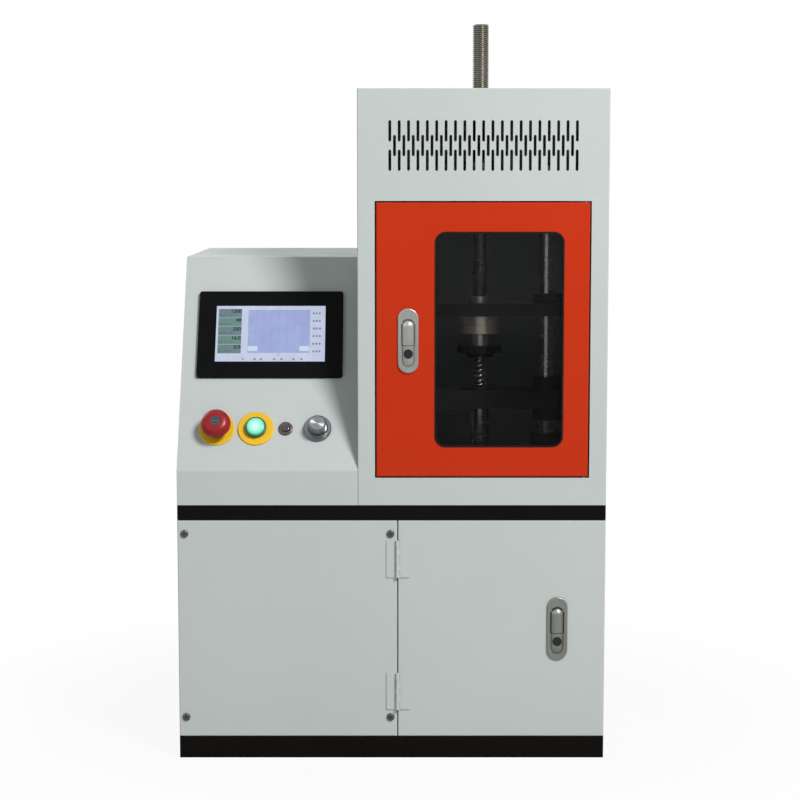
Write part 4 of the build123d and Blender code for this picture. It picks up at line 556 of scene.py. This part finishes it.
def make_display(materials):
    """Generic screen: five readouts, a plot, side labels and a row of marks."""
    figures = ["1200", "48", "250", "16.0", "0.0"]
    for index, figure in enumerate(figures):
        top = READOUT_TOP + index * READOUT_ROW
        ground = materials["readout"] if index % 2 == 0 else materials["readout_green"]
        height = READOUT_ROW - READOUT_GAP
        screen_plate(f"readout_{index}", READOUT_LEFT, top, READOUT_WIDTH, height, 1, ground)
        screen_text(f"readout_value_{index}", figure, 0.0358, top + 0.0062, 0.0078, 3, materials["navy"])
        for mark in range(3):
            left = 0.0045 + mark * 0.0068 + random.uniform(0.0, 0.001)
            width = random.uniform(0.0035, 0.0058)
            screen_plate(f"readout_mark_{index}_{mark}", left, top + 0.0088, width, 0.0022, 2,
                         materials["readout_label"])
    screen_plate("plot", PLOT_LEFT, PLOT_TOP, PLOT_WIDTH, PLOT_HEIGHT, 1, materials["plot"])
    for index in range(1, 6):
        top = PLOT_TOP + index * 0.0115
        screen_plate(f"plot_line_{index}", PLOT_LEFT, top, PLOT_WIDTH, PLOT_LINE, 2, materials["plot_line"])
    for index in range(1, 8):
        left = PLOT_LEFT + index * 0.0111
        screen_plate(f"plot_column_{index}", left, PLOT_TOP, PLOT_LINE, PLOT_HEIGHT, 2,
                     materials["plot_line"])
    screen_plate("plot_key_left", PLOT_LEFT + 0.0004, KEY_TOP, *KEY_SIZE, 3, materials["white"])
    screen_plate("plot_key_right", PLOT_LEFT + 0.0744, KEY_TOP, *KEY_SIZE, 3, materials["white"])
    for index in range(6):
        top = 0.0104 + index * 0.0122
        for mark in range(3):
            left = 0.1385 + mark * 0.0044 + random.uniform(0.0, 0.0006)
            width = random.uniform(0.0024, 0.0036)
            screen_plate(f"side_mark_{index}_{mark}", left, top, width, 0.0032, 1, materials["label"])
    for index, left in enumerate((0.0380, 0.0550, 0.0640, 0.0830, 0.0935, 0.1105, 0.1220)):
        colour = materials["warm_label"] if index == 0 else materials["label"]
        screen_plate(f"foot_mark_{index}", left, 0.0838, 0.0034, 0.0030, 1, colour)
    screen_text("plot_origin", "0", 0.0915, 0.0795, 0.0042, 1, materials["label"])


def make_stop_mark(materials):
    """Plain rounded inlay with a bar on the emergency stop head."""
    layers = [
        ("stop_mark_border", 0.0136, 0.0136, "stop_border"),
        ("stop_mark_frame", 0.0118, 0.0118, "stop_mark"),
        ("stop_mark_field", 0.0076, 0.0084, "stop_field"),
        ("stop_mark_bar", 0.0076, 0.0016, "stop_bar"),
    ]
    for level, (name, width, height, material) in enumerate(layers):
        low = level * 0.00010
        outline = rounded_outline(width, height, min(width, height) / 4)
        vertices, faces = prism(outline, low, low + 0.00014)
        mesh_piece(name, vertices, faces, materials[material], "estop_head", "control_black",
                   on_panel(ESTOP_PLACE, CONTROL_RISE, STOP_TOP - 0.00002))


def make_knob_face(material):
    """Spun face of the speed knob: shallow turning rings in the hollow of its top."""
    ring = KNOB_RING
    profile = [(KNOB_FACE_RADIUS, KNOB_TOP - 0.0001), (KNOB_FACE_RADIUS, KNOB_TOP + 0.00010)]
    count = int(KNOB_FACE_RADIUS / ring) - 2
    for index in range(1, count):
        height = KNOB_TOP + (0.00012 if index % 2 else 0.00010)
        profile.append((KNOB_FACE_RADIUS - index * ring, height))
    vertices, faces = turned(profile, 72)
    mesh_piece("speed_knob_face", vertices, faces, material, "speed_knob", "knob_metal",
               on_panel(KNOB_PLACE, CONTROL_RISE))


def cross_outline(reach, width):
    half = width / 2
    return [(reach, -half), (reach, half), (half, half), (half, reach), (-half, reach), (-half, half),
            (-reach, half), (-reach, -half), (-half, -half), (-half, -reach), (half, -reach), (half, -half)]


def make_screw_recesses(material):
    """Near-black crosses on the four panel screws: painted shade in place of their cross recesses."""
    upright = Matrix.Rotation(math.pi / 2, 4, "X")
    for index, (x, z) in enumerate(PANEL_SCREWS):
        turn = Matrix.Rotation(random.uniform(0.2, 1.3), 4, "Z")
        vertices, faces = prism(cross_outline(*PANEL_CROSS), -0.0010, 0.00004)
        matrix = Matrix.Translation((x, SCREW_HEAD_FRONT, z)) @ upright @ turn
        mesh_piece(f"screw_recess_shade_{index}", vertices, faces, material, "root", "key_dark", matrix)


def make_inlet_pins(material):
    """Three flat pins in the mains inlet."""
    pins = []
    for x, z in PIN_PLACES:
        pins.append(prism(rounded_outline(*PIN_SIZE), 0.0, PIN_LENGTH, (x, z)))
    vertices, faces = joined(pins)
    upright = Matrix.Rotation(math.pi / 2, 4, "X")
    matrix = Matrix.Translation((INLET[0], PIN_REAR, INLET[1])) @ upright
    mesh_piece("inlet_pins", vertices, faces, material, "root", "control_metal", matrix)


def make_door_gap_shade(material):
    """Black strip under the top jamb, behind the upper edge of the test door: painted shade in the door's top
    gap, made in the seal rubber.
    """
    along = Matrix(((0, 0, 1), (1, 0, 0), (0, 1, 0))).to_4x4()
    place = Matrix.Translation((0.0, GAP_SHADE_PLACE[0], GAP_SHADE_PLACE[1])) @ along
    vertices, faces = prism(rounded_outline(*GAP_SHADE_SIZE, GAP_SHADE_ROUND), *GAP_SHADE_RUN)
    mesh_piece("door_top_gap_shade", vertices, faces, material, "root", "seal_rubber", place)


def make_rear_screws(material, recess):
    """Pan head screws that hold the rear sheet of the tower, each with a near-black cross of painted shade
    for its recess.
    """
    outward = Matrix.Rotation(-math.pi / 2, 4, "X")
    low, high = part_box("tower_rear_panel")
    columns = (low[0] + REAR_SCREW_INSET, high[0] - REAR_SCREW_INSET)
    step = (high[2] - low[2] - 2 * REAR_SCREW_INSET) / (REAR_SCREW_ROWS - 1)
    for row in range(REAR_SCREW_ROWS):
        for side, x in enumerate(columns):
            z = low[2] + REAR_SCREW_INSET + row * step
            place = Matrix.Translation((x, high[1], z)) @ outward
            vertices, faces = turned(REAR_HEAD, 32)
            mesh_piece(f"rear_screw_{row}_{side}", vertices, faces, material, "root", "control_metal", place,
                       smooth=True)
            turn = Matrix.Rotation(random.uniform(0.2, 1.3), 4, "Z")
            # near-black cross on the head: painted shade of its recess
            vertices, faces = prism(cross_outline(*REAR_CROSS), 0.0012, 0.00214)
            mesh_piece(f"rear_recess_shade_{row}_{side}", vertices, faces, recess, "root", "key_dark", place @ turn)


# Materials of the machine
def machine_materials():
    grey = surface("grey_powder_coat", CASING, CASING_WEAR, 0.42, grain=1400.0, bump=0.12, variation=0.025,
                   wear_amount=0.35, blotch=3.0, specular=0.20)
    steel = surface("ground_steel", STEEL, "#D8D6D0", 0.24, 1.0, 700.0, 0.08, 0.05, (1.0, 1.0, 6.0))
    return {
        "casing_grey": grey,
        "black_coat": surface("black_coat", BLACK, BLACK_WEAR, 0.40, grain=1100.0, variation=0.15,
                              specular=0.05),
        "door_red": surface("red_powder_coat", RED, RED_WEAR, 0.40, grain=1400.0, bump=0.12, variation=0.03,
                            wear_amount=0.35, blotch=3.0, specular=0.15),
        "lock_metal": surface("lock_die_casting", LOCK, "#DADAD8", 0.28, 0.85, 800.0, 0.08, 0.05),
        # darker copy of the lock casting colour: painted shade on the lower lock
        "lower_lock": surface("shaded_lock_casting", LOWER_LOCK_SHADED, "#B0B2AE", 0.36, 0.85, 800.0, 0.10, 0.08),
        "load_cell": surface("turned_load_cell", "#D8D1C4", "#E8E4DC", 0.36, 0.6, 700.0, 0.05, 0.05,
                             (1.0, 1.0, 8.0)),
        # reset bezel: darkened metal colour, partly its own dark tone and partly a painted dark reflection of
        # the room
        "reset_metal": surface("dark_chrome_painted_reflection", "#5C5654", "#9A9694", 0.20, 1.0, 500.0, 0.05, 0.10),
        "reset_cap": surface("glossy_dark_cap", "#1E1B1A", "#4A4644", 0.15, grain=500.0, bump=0.04,
                             variation=0.1, coat=1.0),
        "spun_face": spun_surface(),
        "panel_screw": surface("dark_panel_screw", "#565B59", "#8A8E8C", 0.35, 0.7, 700.0, 0.1, 0.1),
        "key_dark": surface("dark_plated_key", KEY, "#6A6C70", 0.33, 0.5, 700.0, 0.12, 0.15),
        "pane": pane_surface(),
        "seal_rubber": surface("seal_rubber", SEAL_AND_GAP_SHADE, "#2A2A2A", 0.55, grain=600.0, variation=0.15,
                               specular=0.15),
        "display_black": surface("display_frame", DISPLAY_FRAME, "#2C2D30", 0.34, grain=1300.0, variation=0.1,
                                 specular=0.05),
        "display_glass": lit_surface("screen_ground", "#C9D1EA", 0.86),
        "ring_yellow": surface("yellow_ring", YELLOW, "#F4DA6A", 0.36, grain=900.0, variation=0.04),
        "stop_red": surface("stop_head_red", STOP_RED, "#C83A3A", 0.34, grain=500.0, bump=0.04,
                            variation=0.06,
                            coat=0.05, specular=0.30),
        "control_black": surface("control_black", CONTROL, "#3C3E40", 0.36, grain=900.0, variation=0.1),
        "lens_green": lens_surface(),
        "control_metal": surface("polished_control_metal", "#8E9092", "#C8C8C8", 0.18, 1.0, 500.0, 0.05,
                                 0.06),
        "knob_metal": surface("spun_knob", "#74787C", "#B8BABC", 0.20, 1.0, 600.0, 0.06, 0.06),
        "cast_black": surface("blackened_iron", IRON, "#55565A", 0.50, 0.2, 500.0, 0.20, 0.15, specular=0.2),
        "ground_steel": steel,
        "thread_steel": surface("oiled_thread", "#86837B", "#A8A498", 0.30, 1.0, 900.0, 0.10, 0.12),
        "spring_steel": surface("spring_wire", "#DADAD6", "#ECECE8", 0.20, 1.0, 900.0, 0.08, 0.06),
        "motor_black": surface("motor_enamel", "#1B1C1E", "#4A4B4E", 0.36, grain=900.0, variation=0.1),
        "belt_rubber": surface("belt_rubber", "#17181A", "#303133", 0.62, grain=500.0, variation=0.15),
        "drive_steel": surface("machined_drive_steel", "#8C8B87", "#C4C3BE", 0.30, 1.0, 700.0, 0.12, 0.08),
        "pulley_metal": surface("machined_pulley", "#A0A2A6", "#D2D4D6", 0.30, 1.0, 700.0, 0.12, 0.06),
        "gear_housing": surface("gear_housing", "#8D9292", "#B8BCBA", 0.45, grain=900.0, variation=0.06),
    }


def display_materials():
    return {
        "readout": lit_surface("readout_grey_green", "#73888E", 0.82),
        "readout_green": lit_surface("readout_green", "#70938A", 0.82),
        "navy": lit_surface("figures_navy", "#14283C", 0.85),
        "label": lit_surface("label_grey", "#8A90B4", 0.85),
        "readout_label": lit_surface("readout_label", "#5F7F7C", 0.80),
        "warm_label": lit_surface("label_warm", "#C89AA4", 0.85),
        "plot": lit_surface("plot_blue", "#A2AEDB", 0.88),
        "plot_line": lit_surface("plot_line", "#9CA9D6", 0.88),
        "white": lit_surface("key_white", "#CCDCF2", 0.9),
        "stop_border": surface("stop_mark_border", "#3A1420", "#6C4A50", 0.35, grain=700.0, variation=0.08),
        "stop_mark": surface("stop_mark_frame", "#424146", "#7C7A7E", 0.35, grain=700.0, variation=0.08),
        "stop_field": surface("stop_mark_field", "#162E2C", "#4A6462", 0.35, grain=700.0, variation=0.08),
        "stop_bar": surface("stop_mark_bar", "#3A605C", "#84A09C", 0.35, grain=700.0, variation=0.08),
        # near-black cross plates: painted shade of the screws' cross recesses
        "recess": surface("screw_recess_shade", "#101112", "#2A2B2C", 0.5, 0.4, 600.0, 0.1, 0.1),
    }


def dress_nodes(materials):
    """Each CAD node gets the material of its slot."""
    for row in frame["record"]["subparts"]:
        node = NODES[row["node"]]
        node.data.materials.clear()
        node.data.materials.append(materials[row["material_slot"]])
    own = {
        "panel_screws": "panel_screw",
        "lower_lock_housing": "lower_lock",
        "lower_lock_paddle": "lower_lock",
        "load_cell": "load_cell",
        "reset_bezel": "reset_metal",
        "reset_cap": "reset_cap",
    }
    for name, material in own.items():
        NODES[name].data.materials[0] = materials[material]
    NODES["start_body"].data.materials[0] = surface("green_bezel", GREEN_BEZEL, "#5C8A78", 0.30, grain=800.0,
                                                    variation=0.08)


# Floor, backdrop and lamps
def make_floor():
    material, tree, shader = new_material("pale_floor")
    base = remap(tree, place_noise(tree, 3.0, 3.0), NOISE_LOW, NOISE_HIGH, 0.0, 1.0)
    tone = mix_colours(tree, base, (0.60, 0.60, 0.60, 1.0), (0.64, 0.64, 0.64, 1.0))
    tree.links.new(tone, shader.inputs["Base Color"])
    shader.inputs["Roughness"].default_value = 0.9
    shader.inputs["Specular IOR Level"].default_value = 0.1
    coordinates = tree.nodes.new("ShaderNodeTexCoord")
    away = tree.nodes.new("ShaderNodeVectorMath")
    away.operation = "LENGTH"
    tree.links.new(coordinates.outputs["Object"], away.inputs[0])
    far = remap(tree, away.outputs["Value"], FLOOR_NEAR, FLOOR_FAR, FLOOR_WHITE_NEAR, 1.0)
    rays = tree.nodes.new("ShaderNodeLightPath")
    white = tree.nodes.new("ShaderNodeEmission")
    blend = tree.nodes.new("ShaderNodeMixShader")
    tree.links.new(multiply(tree, far, rays.outputs["Is Camera Ray"]), blend.inputs["Fac"])
    tree.links.new(shader.outputs["BSDF"], blend.inputs[1])
    tree.links.new(white.outputs["Emission"], blend.inputs[2])
    tree.links.new(blend.outputs["Shader"], tree.nodes["Material Output"].inputs["Surface"])
    mesh = bpy.data.meshes.new("floor")
    turns = [math.radians(degrees) for degrees in range(0, 360, 6)]
    outline = [(FLOOR_RADIUS * math.cos(turn), FLOOR_RADIUS * math.sin(turn), 0.0) for turn in turns]
    mesh.from_pydata(outline, [], [tuple(range(len(outline)))])
    mesh.materials.append(material)
    floor = bpy.data.objects.new("floor", mesh)
    bpy.context.scene.collection.objects.link(floor)


def make_world():
    world = bpy.data.worlds.new("studio")
    bpy.context.scene.world = world
    world.use_nodes = True
    tree = world.node_tree
    room = tree.nodes["Background"]
    room.inputs["Color"].default_value = ROOM_LIGHT
    room.inputs["Strength"].default_value = ROOM_STRENGTH
    seen = tree.nodes.new("ShaderNodeBackground")
    seen.inputs["Color"].default_value = (1.0, 1.0, 1.0, 1.0)
    rays = tree.nodes.new("ShaderNodeLightPath")
    glossy = tree.nodes.new("ShaderNodeMath")
    glossy.operation = "MAXIMUM"
    direct = tree.nodes.new("ShaderNodeMath")
    direct.operation = "MAXIMUM"
    tree.links.new(rays.outputs["Is Glossy Ray"], glossy.inputs[0])
    tree.links.new(rays.outputs["Is Transmission Ray"], glossy.inputs[1])
    tree.links.new(rays.outputs["Is Camera Ray"], direct.inputs[0])
    tree.links.new(glossy.outputs["Value"], direct.inputs[1])
    blend = tree.nodes.new("ShaderNodeMixShader")
    tree.links.new(direct.outputs["Value"], blend.inputs["Fac"])
    tree.links.new(room.outputs["Background"], blend.inputs[1])
    tree.links.new(seen.outputs["Background"], blend.inputs[2])
    tree.links.new(blend.outputs["Shader"], tree.nodes["World Output"].inputs["Surface"])


def make_lamp(name, azimuth, elevation, distance, size, power, colour):
    """Soft round lamp that looks at the middle of the machine."""
    data = bpy.data.lights.new(name, "AREA")
    data.shape = "DISK"
    data.size = size
    data.energy = power
    data.color = colour
    lamp = bpy.data.objects.new(name, data)
    turn = math.radians(azimuth)
    rise = math.radians(elevation)
    away = Vector((math.sin(turn) * math.cos(rise), -math.cos(turn) * math.cos(rise), math.sin(rise)))
    target = Vector(LAMP_TARGET)
    lamp.location = target + away * distance
    lamp.rotation_mode = "QUATERNION"
    lamp.rotation_quaternion = (-away).to_track_quat("-Z", "Y")
    bpy.context.scene.collection.objects.link(lamp)


def main():
    bpy.context.scene.view_settings.view_transform = "Standard"
    make_camera()
    materials = machine_materials()
    extras = display_materials()
    dress_nodes(materials)
    make_adjusting_screw(materials["thread_steel"], materials["load_cell"])
    make_ball_screw(materials["drive_steel"])
    make_display(extras)
    make_stop_mark(extras)
    make_screw_recesses(extras["recess"])
    make_inlet_pins(materials["control_metal"])
    make_knob_face(materials["spun_face"])
    # painted shade: black strip behind the gap above the test door
    make_door_gap_shade(materials["seal_rubber"])
    make_rear_screws(materials["control_metal"], extras["recess"])
    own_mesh(NODES["test_spring"])
    make_floor()
    make_world()
    for lamp in LAMPS:
        make_lamp(*lamp)


main()
